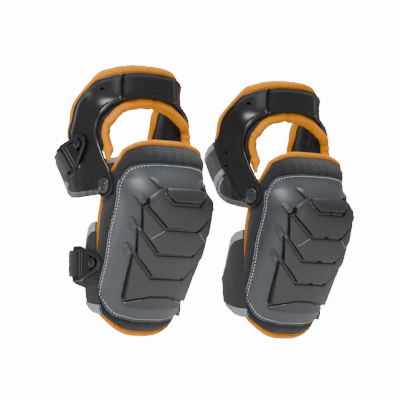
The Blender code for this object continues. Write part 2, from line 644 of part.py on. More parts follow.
def make_pad(name, side, materials):
    pad = Pad(name, side)
    pad_layer(pad, "pad_cover", lambda u, v: 0, lambda u, v: COVER_THICKNESS, materials["fabric"],
              columns=17, rows=13)
    pad_layer(pad, "foam_liner", lambda u, v: COVER_THICKNESS + LAYER_GAP, liner_back, materials["foam"],
              columns=13, rows=9)
    make_binding(pad, materials["tape"])
    make_gel_insert(pad, materials["gel"])
    make_flange(pad, materials["grey_plate"])
    make_cap(pad, materials["cap"])
    make_hinges(pad, materials["rivet"], materials["plastic"])
    make_cuff_frame(pad, materials["plastic"])
    make_cuff_soft_parts(pad, materials["fabric"], materials["tape"])
    thigh = ClipPlane(THIGH_BAR, THIGH_TILT)
    calf = ClipPlane(CALF_BAR, CALF_TILT)
    make_clip(pad, "thigh_clip", thigh, materials["plastic"])
    make_clip(pad, "calf_clip", calf, materials["plastic"])
    make_stud(pad, "thigh_stud", thigh, -CUFF_HALF_WIDTH - GAP, materials["plastic"])
    stud_base = smooth_value(PAD_HALF_WIDTH, CALF_BAR[2]) + CALF_WING_LIFT + WING_THICKNESS + GAP
    make_stud(pad, "calf_stud", calf, -stud_base, materials["plastic"])
    make_thigh_wing(pad, materials["fabric"])
    make_calf_wing(pad, "outer_calf_wing", -1, OUTER_CALF_WING, materials["fabric"])
    make_calf_wing(pad, "inner_calf_wing", 1, INNER_CALF_WING, materials["fabric"])
    make_strap(pad, "thigh_strap", thigh, THIGH_ROUTE, materials["elastic"])
    make_strap(pad, "calf_strap", calf, CALF_ROUTE, materials["elastic"])


def main():
    for thing in list(bpy.data.objects):
        bpy.data.objects.remove(thing, do_unlink=True)
    materials = {
        "fabric": make_material("black_fabric", BLACK_FABRIC, 0.9),
        "tape": make_material("orange_tape", ORANGE_TAPE, 0.75),
        "foam": make_material("foam", FOAM_GREY, 0.95),
        "gel": make_material("gel", GEL_BLUE, 0.3),
        "grey_plate": make_material("grey_plate", GREY_PLATE, 0.5),
        "cap": make_material("cap_rubber", CHARCOAL, 0.6),
        "plastic": make_material("black_plastic", BLACK_PLASTIC, 0.45),
        "rivet": make_material("rivet", STEEL_GREY, 0.35),
        "elastic": make_material("elastic", ELASTIC_BLACK, 0.85),
    }
    make_pad("left", 1, materials)
    make_pad("right", -1, materials)


main()
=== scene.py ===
"""The looks of a pair of hinged knee pads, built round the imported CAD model.

Each piece is worked out once, in millimetres, in the left pad's own frame (x = 0 on the pad's middle
plane, its outer side at -x), and placed twice: on the left pad, and mirrored on the right one.
"""

import json
import math

import bmesh
import bpy
import numpy as np
from mathutils import Matrix, Vector


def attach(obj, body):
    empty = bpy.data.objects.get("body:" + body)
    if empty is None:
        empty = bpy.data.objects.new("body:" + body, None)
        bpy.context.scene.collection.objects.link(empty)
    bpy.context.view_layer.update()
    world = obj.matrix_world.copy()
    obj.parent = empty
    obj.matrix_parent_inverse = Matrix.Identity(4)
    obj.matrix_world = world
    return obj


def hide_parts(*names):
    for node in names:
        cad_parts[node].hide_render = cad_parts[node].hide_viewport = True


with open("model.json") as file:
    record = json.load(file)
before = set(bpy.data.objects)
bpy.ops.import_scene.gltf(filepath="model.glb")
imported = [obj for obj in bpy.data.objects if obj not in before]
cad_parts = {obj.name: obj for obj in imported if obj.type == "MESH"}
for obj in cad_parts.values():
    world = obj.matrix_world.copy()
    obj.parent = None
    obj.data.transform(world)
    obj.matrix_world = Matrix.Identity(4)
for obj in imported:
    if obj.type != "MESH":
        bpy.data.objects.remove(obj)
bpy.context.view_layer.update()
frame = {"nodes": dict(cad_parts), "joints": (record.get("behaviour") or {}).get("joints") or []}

METRES = 0.001
SIDES = (("left", 1), ("right", -1))
JOINTS = {joint["name"]: joint for joint in frame["joints"]}
HALF_SPACING = abs(JOINTS["left_cuff_hinge"]["pos_m"][0]) / METRES

# --- the CAD's surfaces, which every layer follows ---------------------------------------------

# The cover's outer face, by height: front line, half width and rear edge of each level section.
PAD_FRONT = ((-190, 25), (-173, 14), (-139, -6), (-116, -20), (-86, -38), (-54, -52), (-21, -61),
             (0, -55), (24, -39), (45, -33), (60, -28))
PAD_HALF_WIDTH = ((-190, 56), (-150, 65), (-120, 69), (-80, 71.5), (-40, 72), (0, 72), (22, 70.5),
                  (45, 66), (60, 61))
PAD_REAR = ((-190, 46), (-150, 40), (-80, 29), (-40, 23), (-20, 18), (0, 14), (22, -3), (45, -16),
            (60, -20))
PAD_TOP, PAD_TOP_DROP = 60.0, 15.0
PAD_BOTTOM, PAD_BOTTOM_RISE = -188.0, 40.0
PAD_DEPTH_RATIO, PAD_ROUNDNESS = 0.85, 2.3
BINDING_WIDTH = 7.5
COVER_TUCK, COVER_THICKNESS, COVER_SWELL, COVER_SWELL_SLOPE = 1.2, 4.5, 4.2, 0.24
LINER_BACK_MIDDLE, LINER_BACK_EDGE = 15.0, 8.8
LINER_SEAMS, LINER_SEAM_WIDTH, LINER_SEAM_DEPTH, LINER_SIDE_SEAM = (-140, -98, 40), 3.6, 2.6, 56.0
TAPE_STITCHES = (2.2, 3.7, 0.32)        # length, spacing and radius
FLANGE_OUTLINE = ((-167.5, 22), (-161, 51), (-141, 75), (-137, 80), (-97, 87), (-60, 94),
                  (-28, 93), (-6, 88), (4, 82), (21, 65), (26, 48), (27.5, 28))
FLANGE_BACK, FLANGE_FACE = 1.8, 3.4

# The cap's plates: (distance from the middle, height), outside to middle, upper and lower edge.
CAP_PLATES = (
    (((29, -8), (27, -8), (24, -8), (20, -8), (0, -8)),
     ((31, -13), (28, -15), (25, -17.5), (20, -21), (0, -21))),
    (((54, -19), (36, -8), (30, -19), (21.5, -26), (0, -26)),
     ((54, -23.5), (45, -32), (36, -40), (25, -50), (0, -50))),
    (((60, -24), (48, -36.5), (38, -45.5), (26.5, -55), (0, -55)),
     ((55, -52), (47, -61), (38, -70), (28, -80), (0, -80))),
    (((60, -53), (49, -65), (40, -74.5), (29, -85), (0, -85)),
     ((54, -81), (45, -89.5), (35, -98), (24.5, -108), (0, -108))),
    (((58, -83), (47, -94), (37, -103), (26, -113), (0, -113)),
     ((50, -138), (40, -136.5), (28, -134), (16, -131), (0, -131))),
    (((48, -142), (38, -140.5), (27, -138), (16, -135), (0, -135)),
     ((47, -143.5), (38, -147), (26, -149), (14, -150), (0, -150))),
)
CAP_CREASE, CAP_TOP_EDGE, CAP_LOW_EDGE = 7.0, 8.8, 11.4
CAP_SIDE_WALL = 4.0
CAP_CHANNEL = ((0.16, 8.4), (0.3, 7.3), (0.6, 6.9), (0.9, 6.8))     # share of its width, and lift

CUFF_FRONT = ((0, -75), (20, -68), (45, -50), (66, -35), (86, -22), (96, -12), (104, -5),
              (112, -1), (125, 0), (165, 0))
CUFF_HALF_WIDTH, CUFF_DEPTH, CUFF_ROUNDNESS, CUFF_REACH = 78.6, 50.0, 2.4, 130.0
# Opening edge and outer edge, as ("a", distance from the middle, height) or ("y", y, height).
CUFF_STATIONS = (
    (("a", 0, 116), ("a", 0, 147)),
    (("a", 14, 115.6), ("a", 13, 147)),
    (("a", 28, 113.8), ("a", 26, 146.5)),
    (("a", 42, 111), ("a", 40, 145)),
    (("a", 45.5, 110.2), ("a", 43.5, 144.5)),
    (("a", 49, 109.2), ("a", 47, 144)),
    (("a", 60, 105), ("a", 60, 141)),
    (("a", 73, 97.5), ("a", 78, 135)),
    (("y", 13, 88), ("y", 43, 119)),
    (("y", 16, 77), ("y", 62, 96)),
    (("y", 17, 67), ("y", 71, 71)),
    (("y", 14, 56), ("y", 63, 53)),
    (("y", 8, 44), ("y", 53.5, 37)),
    (("y", 2, 33), ("y", 44.5, 22)),
    (("y", -6, 22), ("y", 35.5, 8)),
    (("y", -11, 10), ("y", 22, -6)),
)
RIDGE_STATION, GROOVE_FLOOR, PANEL_FLOOR = 4, -2.6, -0.7
CUFF_THICKNESS = 3.0
CUFF_FRONT_HOLE = (72, 124)
CUFF_WING_HOLES = ((50, 60), (50, 42))
CUFF_HOLE_RADIUS = 2.0
CUSHION_BACK, CUSHION_LAST_STATION = 14.0, 12
TAPE_LAST_STATION, TAPE_TAPER_START, TAPE_END_SHARE = 13.3, 11.8, 0.45
TAPE_UNDER_FRAME, OPENING_MIDDLE_RISE = 1.5, 3.2
# Where the bindings start and end past the frame's edges.
TOP_TAPE_START, TOP_TAPE_END, OPENING_TAPE_START, OPENING_TAPE_END = 3.0, 11.0, 4.0, 12.0
BOSS_RADIUS, BOSS_FACE = 15.0, 80.0
RIVET_HEAD_RADIUS, RIVET_FACE, RIVET_TOP = 9.8, 80.4, 83.2

CLIP_THICKNESS, CLIP_BAR_HALF, CLIP_BAR_WIDTH = 4.6, 22.5, 2.6
CLIP_STUD_DISTANCE, CLIP_NOSE_RADIUS, CLIP_WINDOW_RADIUS = 36.0, 12.6, 7.2
CLIP_SLOT_HALF, CLIP_SLOT_END = 17.6, 9.5
STUD_HEAD_RADIUS = 6.2
LOOP_RADIUS, STRAP_THICKNESS, TAIL_LENGTH, LOOP_WIDTH = 4.8, 1.6, 9.0, 34.0
THIGH_BAR, THIGH_TILT = (-82.4, 74.0, 32.0), math.radians(40)
CALF_BAR, CALF_TILT = (-78.0, 58.0, -96.0), 0.0
# Strap routes behind the leg: x, y, z, tilt of the strap's width from upright, width.
THIGH_ROUTE = ((-75.5, 87, 22, 38, 38), (-66, 98.5, 16, 32, 43), (-50, 109, 13.5, 24, 46),
               (-28, 117, 15.5, 12, 46), (0, 120, 20, 2, 46), (24, 116.5, 24, 10, 46),
               (46, 109, 29.5, 22, 46), (61, 99.5, 34.3, 30, 46), (67, 93, 37.7, 30, 46),
               (72.8, 85, 42.3, 30, 46), (76.3, 76, 47.5, 30, 46), (77, 67, 52.7, 30, 46))
CALF_ROUTE = ((-74.5, 67, -97, 0, 36), (-66, 76, -99, 0, 39), (-50, 85, -102, 0, 40),
              (-27, 93, -105, 0, 40), (0, 97, -107, 0, 40), (26, 95, -109, 0, 40),
              (44, 86, -110, 0, 40), (54, 76.5, -111, 0, 40), (59.4, 66, -112, 0, 40),
              (63.5, 54, -112, 0, 40), (66, 44, -112, 0, 40))
WING_THICKNESS = 1.6
OUTER_CALF_WING = ((21, -44, -160), (30, -46, -159), (37, -52, -157), (44, -76, -153),
                   (50, -106, -148))
INNER_CALF_WING = ((21, -44, -160), (36, -47, -158), (48, -54, -155), (56, -72, -151),
                   (64, -88, -147), (72, -98, -142), (80, -106, -135))
CALF_WING_BEND, CALF_WING_BEND_START, CALF_WING_LIFT = 0.0042, 20.0, 2.4
THIGH_WING = (44.0, 102.0, 26.0, math.radians(30))      # from y, to y, half height, slope
THIGH_WING_START_HEIGHT = 66.0
THIGH_WING_BEND, THIGH_WING_BEND_START = 0.018, 68.0

sections = {}


def smooth_value(rows, at):
    """Value of a table of (height, value) rows at a height, on a smooth curve through them."""
    heights = [row[0] for row in rows]
    at = min(max(at, heights[0]), heights[-1])
    i = min(max(int(np.searchsorted(heights, at)) - 1, 0), len(rows) - 2)

    def slope(k):
        before, after = rows[max(k - 1, 0)], rows[min(k + 1, len(rows) - 1)]
        return (after[1] - before[1]) / (after[0] - before[0])

    (z0, v0), (z1, v1) = rows[i], rows[i + 1]
    span = z1 - z0
    t = (at - z0) / span
    rise = slope(i) * span * (t ** 3 - 2 * t ** 2 + t) + slope(i + 1) * span * (t ** 3 - t ** 2)
    return v0 + (v1 - v0) * (3 * t ** 2 - 2 * t ** 3) + rise


def section(kind, z):
    """Half of a level section at a whole height, middle to rear: points and distances along it."""
    if (kind, z) not in sections:
        if kind == "pad":
            front, width = smooth_value(PAD_FRONT, z), smooth_value(PAD_HALF_WIDTH, z)
            rear = smooth_value(PAD_REAR, z)
            depth, power = min(PAD_DEPTH_RATIO * width, max(rear - front, 8)), PAD_ROUNDNESS
        else:
            front, width, rear = smooth_value(CUFF_FRONT, z), CUFF_HALF_WIDTH, CUFF_REACH
            depth, power = CUFF_DEPTH, CUFF_ROUNDNESS
        angles = np.linspace(0, math.pi / 2, 121)
        x = width * np.sin(angles) ** (2 / power)
        y = front + depth - depth * np.clip(np.cos(angles), 0, 1) ** (2 / power)
        if rear > front + depth + 0.5:
            x, y = np.append(x, width), np.append(y, rear)
        along = np.concatenate([[0], np.cumsum(np.hypot(np.diff(x), np.diff(y)))])
        sections[(kind, z)] = (x, y, along)
    return sections[(kind, z)]


def between_levels(kind, z, read):
    """A value read from the sections at the whole heights below and above z, mixed."""
    low = math.floor(z)
    t = z - low
    return read(section(kind, low)) * (1 - t) + read(section(kind, low + 1)) * t


def reach(kind, z):
    return between_levels(kind, z, lambda rows: rows[2][-1])


def along_at_y(kind, y, z):
    return between_levels(kind, z, lambda rows: np.interp(y, rows[1], rows[2]))


def on_section(kind, a, z):
    def read(rows):
        return np.array([np.interp(abs(a), rows[2], rows[0]), np.interp(abs(a), rows[2], rows[1])])

    x, y = between_levels(kind, z, read)
    return np.array([math.copysign(x, a), y, z])


def face_frame(kind, a, z):
    """Point on the pad's or cuff's face, and the face's outward normal there."""
    step = 1.5
    across = on_section(kind, a + step, z) - on_section(kind, a - step, z)
    up = on_section(kind, a, z + step) - on_section(kind, a, z - step)
    if abs(a) + step > reach(kind, z):
        across = on_section(kind, a, z) - on_section(kind, a - math.copysign(step, a), z)
        across *= math.copysign(1, a)
    normal = np.cross(across, up)
    return on_section(kind, a, z), normal / np.linalg.norm(normal)


def on_face(kind, a, z, lift):
    point, normal = face_frame(kind, a, z)
    return point + lift * normal


def pad_place(u, v):
    """Place (a, z) on the pad's face: u from -1 to 1 across, v from 0 at the bottom to 1 at the top."""
    low = PAD_BOTTOM + PAD_BOTTOM_RISE * abs(u) ** 3
    high = PAD_TOP - PAD_TOP_DROP * u ** 4
    z = low + (high - low) * v
    return u * reach("pad", z), z


def pad_margin(u, v, inset):
    """The grid place that lies inset millimetres in from the pad's edge, for a place on the edge."""
    height = PAD_TOP - PAD_BOTTOM
    shrink_u = 1 - inset / reach("pad", PAD_BOTTOM + height * v)
    margin_v = inset / (height - (PAD_TOP_DROP + PAD_BOTTOM_RISE) * abs(u) ** 4)
    return u * shrink_u, margin_v + v * (1 - 2 * margin_v)


# --- building shapes ------------------------------------------------------------------------------

class Shape:
    """Closed bodies in a pad's frame: points, faces, and each face corner's place for the weave."""

    def __init__(self):
        self.points, self.faces, self.places = [], [], []

    def add(self, points, faces, places):
        start = len(self.points)
        self.points += [tuple(p) for p in points]
        self.faces += [tuple(start + k for k in face) for face in faces]
        self.places += places

    def object(self, name, side, material, smooth):
        mesh = bpy.data.meshes.new(name)
        points = np.array(self.points, float)
        points[:, 0] = side * (points[:, 0] - HALF_SPACING)
        mesh.from_pydata((points * METRES).tolist(), [], self.faces)
        weave = mesh.uv_layers.new(name="weave")
        flat = [value for face in self.places for place in face for value in place]
        weave.data.foreach_set("uv", np.array(flat, np.float32) / 10)
        work = bmesh.new()
        work.from_mesh(mesh)
        bmesh.ops.remove_doubles(work, verts=work.verts, dist=1e-6)
        bmesh.ops.recalc_face_normals(work, faces=work.faces)
        work.to_mesh(mesh)
        work.free()
        mesh.shade_smooth()
        mesh.set_sharp_from_angle(angle=math.radians(smooth))
        mesh.materials.append(material)
        piece = bpy.data.objects.new(name, mesh)
        bpy.context.scene.collection.objects.link(piece)
        return piece


def spread(low, high, count):
    return [low + (high - low) * k / (count - 1) for k in range(count)]


def distances(line):
    return np.concatenate([[0], np.cumsum(np.linalg.norm(np.diff(line, axis=0), axis=1))])


def slab(front, back, closed=False, shape=None):
    """A solid between two grids of points; closed joins the last row to the first."""
    front, back = np.array(front), np.array(back)
    rows, columns = front.shape[:2]
    line = front[:, columns // 2]
    if closed:
        line = np.concatenate([line, line[:1]])
    along, across = distances(line), distances(front[rows // 2])
    under = rows * columns
    faces, places = [], []

    def index(i, j):
        return (i % rows) * columns + j

    def edge_face(first, second, place_first, place_second):
        faces.append([index(*first), index(*second), under + index(*second), under + index(*first)])
        (x0, y0), (x1, y1) = place_first, place_second
        out, down = (2, 0) if x0 == x1 else (0, 2)
        places.append([(x0, y0), (x1, y1), (x1 + out, y1 + down), (x0 + out, y0 + down)])

    for i in range(rows if closed else rows - 1):
        for j in range(columns - 1):
            quad = [(i, j), (i + 1, j), (i + 1, j + 1), (i, j + 1)]
            here = [(across[q], along[p]) for p, q in quad]
            faces += [[index(*q) for q in quad], [under + index(*q) for q in reversed(quad)]]
            places += [here, here[::-1]]
        for j in (0, columns - 1):
            edge_face((i, j), (i + 1, j), (across[j], along[i]), (across[j], along[i + 1]))
    if not closed:
        for i in (0, rows - 1):
            for j in range(columns - 1):
                edge_face((i, j), (i, j + 1), (across[j], along[i]), (across[j + 1], along[i]))
    shape = shape or Shape()
    shape.add(np.concatenate([front.reshape(-1, 3), back.reshape(-1, 3)]), faces, places)
    return shape


def sheet(kind, rows, closed=False, shape=None):
    """A solid along a face, from rows of (a, z, lift of its front, lift of its back)."""
    front, back = [], []
    for row in rows:
        frames = [(*face_frame(kind, a, z), top, under) for a, z, top, under in row]
        front.append([point + normal * top for point, normal, top, _ in frames])
        back.append([point + normal * under for point, normal, _, under in frames])
    return slab(front, back, closed, shape)


def lathe(centre, profile, sides=48, shape=None):
    """A turned body whose axis is along x, growing away from the pad's middle: (out, radius) rows."""
    x, y, z = centre
    away = math.copysign(1, x)
    points = []
    for out, radius in profile:
        for k in range(sides):
            turn = 2 * math.pi * k / sides
            points.append((x + away * out, y + radius * math.cos(turn), z + radius * math.sin(turn)))
    faces = [list(range(sides)), list(reversed(range(len(points) - sides, len(points))))]
    for level in range(len(profile) - 1):
        for k in range(sides):
            a, b = level * sides + k, level * sides + (k + 1) % sides
            faces.append([a, b, b + sides, a + sides])
    places = [[(points[k][1], points[k][2]) for k in face] for face in faces]
    shape = shape or Shape()
    shape.add(points, faces, places)
    return shape


def tube(path, normals, radius, closed=False, sides=8, flat=1.0, shape=None):
    """A round bead along a path; flat below 1 presses it towards the surface under it."""
    path, normals = np.array(path), np.array(normals)
    count = len(path)
    sideways = np.cross(ways_along(path, closed), normals)
    sideways /= np.linalg.norm(sideways, axis=1)[:, None]
    along = distances(path)
    points, faces, places = [], [], []
    for p, n, s in zip(path, normals, sideways):
        for k in range(sides):
            turn = 2 * math.pi * k / sides
            points.append(p + radius * (flat * math.sin(turn) * n + math.cos(turn) * s))
    for i in range(count if closed else count - 1):
        for k in range(sides):
            m, a, b = (k + 1) % sides, i * sides, ((i + 1) % count) * sides
            faces.append([a + k, a + m, b + m, b + k])
            there = along[(i + 1) % count] if i + 1 < count else along[i] + 1
            places.append([(k, along[i]), (k + 1, along[i]), (k + 1, there), (k, there)])
    if not closed:
        for face in (list(range(sides)), list(reversed(range(len(points) - sides, len(points))))):
            faces.append(face)
            places.append([(0, 0)] * sides)
    shape = shape or Shape()
    shape.add(points, faces, places)
    return shape


def stitch_row(path, normals, length, spacing, radius, closed=False, shape=None):
    """Single stitches along a path: short threads, thick in the middle and sunk at both ends."""
    path, normals = np.array(path), np.array(normals)
    if closed:
        path, normals = np.concatenate([path, path[:1]]), np.concatenate([normals, normals[:1]])
    along = distances(path)
    shape = shape or Shape()
    count = int(along[-1] // spacing)
    for k in range(count):
        middle = (k + 0.5) * along[-1] / count
        steps = [middle + length * t for t in (-0.5, -0.3, 0, 0.3, 0.5)]
        line = np.array([[np.interp(s, along, path[:, c]) for c in range(3)] for s in steps])
        up = np.array([np.interp(middle, along, normals[:, c]) for c in range(3)])
        up /= np.linalg.norm(up)
        line += np.outer([-0.35, 0.1, 0.2, 0.1, -0.35], up)
        tube(line, np.tile(up, (5, 1)), radius, sides=6, shape=shape)
    return shape


def face_path(kind, places, lift):
    """Points and outward normals of a line of places on a face; one lift, or one for each place."""
    points, normals = (np.array(part) for part in zip(*(face_frame(kind, a, z) for a, z in places)))
    return points + np.reshape(lift, (-1, 1)) * normals, normals


def bead(places, lift, radius, shape=None, **form):
    """A round bead along places on the pad's face."""
    return tube(*face_path("pad", places, lift), radius, shape=shape, **form)


def through(p0, p1, p2, p3, t):
    """Place on the smooth curve from p1 to p2, which comes from p0 and goes on to p3."""
    bend = (2 * p0 - 5 * p1 + 4 * p2 - p3) * t ** 2 + (3 * p1 - p0 - 3 * p2 + p3) * t ** 3
    return 0.5 * (2 * p1 + (p2 - p0) * t + bend)


def line_between(start, end, shares):
    """Places on the straight line between two places."""
    (a0, z0), (a1, z1) = start, end
    return [(a0 + (a1 - a0) * t, z0 + (z1 - z0) * t) for t in shares]


def ways_along(path, closed):
    """Unit directions along a path at each of its points."""
    before = np.roll(path, 1, 0) if closed else np.concatenate([path[:1], path[:-1]])
    after = np.roll(path, -1, 0) if closed else np.concatenate([path[1:], path[-1:]])
    return (after - before) / np.linalg.norm(after - before, axis=1)[:, None]


def inset_line(places, distance, closed):
    """A line of places moved to its left by a distance."""
    places = np.array(places, float)
    way = ways_along(places, closed)
    return places + distance * np.stack([-way[:, 1], way[:, 0]], 1)


def wobble(at, seed, size):
    """A small smooth unevenness along a distance, different for each seed."""
    waves = ((0.061, 0.5), (0.137, 0.3), (0.291, 0.2))      # waves to the millimetre, and share of the size
    return size * sum(share * math.sin(at * rate * 2 * math.pi + seed * (k + 1.7))
                      for k, (rate, share) in enumerate(waves))


def hump(at, middle, width):
    return math.exp(-((at - middle) / width) ** 2)


def ease(t):
    t = min(max(t, 0), 1)
    return t * t * (3 - 2 * t)


def pair(name, shape, body, material, replaces=(), smooth=80, levels=0):
    """Places a shape on both pads; returns the two pieces."""
    pieces = []
    for side_name, side in SIDES:
        piece = shape.object(f"{side_name}_{name}", side, material, smooth)
        if levels:
            finer = piece.modifiers.new("finer", "SUBSURF")
            finer.levels = levels
            finer.render_levels = levels
        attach(piece, f"{side_name}_{body}")
        if replaces:
            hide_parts(*[f"{side_name}_{node}" for node in replaces])
        pieces.append(piece)
    return pieces


# --- materials -------------------------------------------------------------------------------------

WAVES_PER_UNIT = 0.31416     # scale at which a Wave texture shows one band to a unit


class Finish:
    """A material under construction: its nodes and its Principled shader."""

    def __init__(self, name, roughness, sheen=0.0, coat=0.0, specular=0.5):
        self.material = bpy.data.materials.new(name)
        self.material.use_nodes = True
        self.tree = self.material.node_tree
        self.shader = self.tree.nodes["Principled BSDF"]
        levels = {"Roughness": roughness, "Sheen Weight": sheen, "Coat Weight": coat,
                  "Specular IOR Level": specular}
        for socket, level in levels.items():
            self.shader.inputs[socket].default_value = level
        self.coordinates = self.tree.nodes.new("ShaderNodeTexCoord")
        self.height = None

    def link(self, start, end):
        self.tree.links.new(start, end)

    def pattern(self, kind, source, change, value, levels):
        """A texture node fed by a source of coordinates, with one change made by a Mapping node."""
        mapping = self.tree.nodes.new("ShaderNodeMapping")
        mapping.inputs[change].default_value = value
        texture = self.tree.nodes.new(kind)
        for socket, level in levels.items():
            texture.inputs[socket].default_value = level
        self.link(self.coordinates.outputs[source], mapping.inputs["Vector"])
        self.link(mapping.outputs["Vector"], texture.inputs["Vector"])
        return texture

    def noise(self, scale, detail=4.0, squeeze=(1, 1, 1)):
        levels = {"Scale": scale, "Detail": detail}
        return self.pattern("ShaderNodeTexNoise", "Object", "Scale", squeeze, levels).outputs["Fac"]

    def threads(self, direction, per_cm, turn=0.0):
        """Bands across the weave's own places, so many to the centimetre."""
        levels = {"Scale": per_cm * WAVES_PER_UNIT, "Distortion": 0.6, "Detail": 1.0}
        texture = self.pattern("ShaderNodeTexWave", "UV", "Rotation", (0, 0, turn), levels)
        texture.bands_direction = direction
        return texture.outputs["Fac"]

    def math(self, operation, first, second):
        node = self.tree.nodes.new("ShaderNodeMath")
        node.operation = operation
        for socket, value in zip(node.inputs, (first, second)):
            if isinstance(value, (int, float)):
                socket.default_value = value
            else:
                self.link(value, socket)
        return node.outputs[0]

    def mix(self, first, share, second, other_share):
        """Two outputs added up, each with its share."""
        scaled_first = self.math("MULTIPLY", first, share)
        return self.math("ADD", scaled_first, self.math("MULTIPLY", second, other_share))

    def ramp(self, factor, stops):
        node = self.tree.nodes.new("ShaderNodeValToRGB")
        elements = node.color_ramp.elements
        while len(elements) < len(stops):
            elements.new(0.5)
        for element, (position, colour) in zip(elements, stops):
            element.position = position
            element.color = (*colour, 1)
        self.link(factor, node.inputs["Fac"])
        return node.outputs["Color"]

    def colour(self, output):
        self.link(output, self.shader.inputs["Base Color"])

    def roughness(self, factor, low, high):
        node = self.tree.nodes.new("ShaderNodeMapRange")
        node.inputs["To Min"].default_value = low
        node.inputs["To Max"].default_value = high
        self.link(factor, node.inputs["Value"])
        self.link(node.outputs["Result"], self.shader.inputs["Roughness"])

    def bump(self, height, distance_mm, strength=1.0):
        node = self.tree.nodes.new("ShaderNodeBump")
        node.inputs["Distance"].default_value = distance_mm * METRES
        node.inputs["Strength"].default_value = strength
        self.link(height, node.inputs["Height"])
        if self.height:
            self.link(self.height, node.inputs["Normal"])
        self.height = node.outputs["Normal"]
        self.link(self.height, self.shader.inputs["Normal"])


def scaled(colour, factor):
    return tuple(channel * factor for channel in colour)


def woven(name, colour, per_cm, depth=0.25, contrast=0.35, roughness=0.85, sheen=0.3, warp=1.0):
    """Plain weave: threads both ways, a painted sheen on their tops and painted shade between them, with
    uneven dye.
    """
    finish = Finish(name, roughness, sheen=sheen, specular=0.35)
    weft = finish.threads("X", per_cm)
    warp_threads = finish.threads("Y", per_cm * warp)
    weave = finish.mix(weft, 0.65, warp_threads, 0.35)
    patches = finish.noise(38)
    mix = finish.mix(weave, 0.75, patches, 0.4)
    # The weave's light and dark are painted sheen and painted shade on the threads; the patches are uneven
    # dye.
    dark, light = scaled(colour, 1 - contrast), scaled(colour, 1 + contrast)
    finish.colour(finish.ramp(mix, ((0.1, dark), (0.8, light))))
    finish.roughness(patches, roughness - 0.1, min(roughness + 0.1, 1))
    finish.bump(weave, depth)
    finish.bump(finish.noise(90, 2), 0.3, 0.5)
    return finish.material


def tape_finish(name, colour, shade):
    """Twill binding tape: fine diagonal ribs, with a redder colour painted into the ribs' hollows as painted
    shade, and in random patches.
    """
    finish = Finish(name, 0.8, specular=0.15)
    ribs = finish.threads("X", 5, math.radians(40))
    patches = finish.noise(55)
    mix = finish.mix(ribs, 0.45, patches, 0.6)
    # Painted shade: the redder shade colour lies in the ribs' hollows, and in random patches.
    finish.colour(finish.ramp(mix, ((0.2, shade), (0.75, colour))))
    finish.roughness(patches, 0.6, 0.85)
    finish.bump(ribs, 0.35)
    finish.bump(finish.noise(140, 2), 0.4, 0.5)
    return finish.material


def moulded(name, colour, low, high, grain=0.03, grain_scale=2600, coat=0.0):
    """Moulded plastic or rubber: fine grain, uneven gloss, and lighter scuffs."""
    finish = Finish(name, (low + high) / 2, coat=coat, specular=0.5)
    patches = finish.noise(24, 6)
    scuffs = finish.noise(160, 8, squeeze=(1, 1, 0.25))
    mix = finish.mix(patches, 0.6, scuffs, 0.4)
    stops = ((0.3, scaled(colour, 0.85)), (0.62, colour), (0.8, scaled(colour, 1.35)))
    finish.colour(finish.ramp(mix, stops))
    finish.roughness(mix, low, high)
    finish.bump(finish.noise(grain_scale, 2), grain)
    return finish.material


def heather(name, colour, dark):
    """Flecked grey knit of the wings' trims."""
    finish = Finish(name, 0.9, sheen=0.3, specular=0.2)
    flecks = finish.noise(900, 3, squeeze=(1, 1, 0.4))
    finish.colour(finish.ramp(flecks, ((0.35, dark), (0.6, colour))))
    finish.roughness(flecks, 0.8, 1.0)
    finish.bump(finish.threads("X", 14), 0.12)
    return finish.material


ORANGE, ORANGE_SHADE = (0.86, 0.33, 0.0), (0.66, 0.14, 0.0)
FABRIC = woven("ballistic_weave", (0.017, 0.017, 0.019), 3.6, depth=0.8, contrast=0.9, sheen=0.12)
LINING = woven("lining_weave", (0.016, 0.016, 0.018), 8, depth=0.3, sheen=0.15)
MESH = woven("spacer_mesh", (0.017, 0.017, 0.021), 4.5, depth=0.6, contrast=0.8, sheen=0.12)
WEBBING = woven("webbing_weave", (0.018, 0.018, 0.020), 10, depth=0.4, contrast=0.6, warp=0.5)
TAPE = tape_finish("binding_tape", ORANGE, ORANGE_SHADE)
TAPE_THREAD = tape_finish("binding_thread", scaled(ORANGE, 0.62), scaled(ORANGE_SHADE, 0.6))
TRIM = heather("heather_trim", (0.36, 0.39, 0.45), (0.17, 0.185, 0.215))
SHELL = moulded("grey_shell_plastic", (0.052, 0.058, 0.066), 0.34, 0.46, grain=0.02)
CAP = moulded("cap_moulding", (0.030, 0.030, 0.033), 0.38, 0.52, grain=0.04, grain_scale=1800)
# Painted shade: near-black for the cap's channels and side walls and the flange's seam line, darker than the
# plates where shade falls.
PAINTED_SHADE_BLACK = moulded("cap_channel_painted_shade", (0.007, 0.007, 0.008), 0.25, 0.4, grain=0.02)
# Painted highlight: light grey for the beads along the cap's facet edges, where the moulding catches the
# light.
EDGE_HIGHLIGHT_PAINT = moulded("painted_edge_highlight", (0.22, 0.23, 0.25), 0.35, 0.5, grain=0.02)
PLASTIC = moulded("black_moulding", (0.010, 0.010, 0.011), 0.26, 0.4, grain=0.015)
RIVET = moulded("rivet_coating", (0.030, 0.030, 0.033), 0.30, 0.42, coat=0.2)
THREAD = woven("grey_thread", (0.75, 0.76, 0.78), 20, depth=0.1, contrast=0.2)
GEL = woven("gel_cover", (0.045, 0.05, 0.06), 8, depth=0.5, contrast=0.5)


# --- the pad ---------------------------------------------------------------------------------------

def flange_half_line(count=70):
    """The flange's right edge from its bottom to its top, close together where it turns."""
    low, high = FLANGE_OUTLINE[0][0], FLANGE_OUTLINE[-1][0]
    heights = [(low + high) / 2 - (high - low) / 2 * math.cos(math.pi * t) for t in spread(0, 1, count)]
    return [(smooth_value(FLANGE_OUTLINE, z), z) for z in heights]


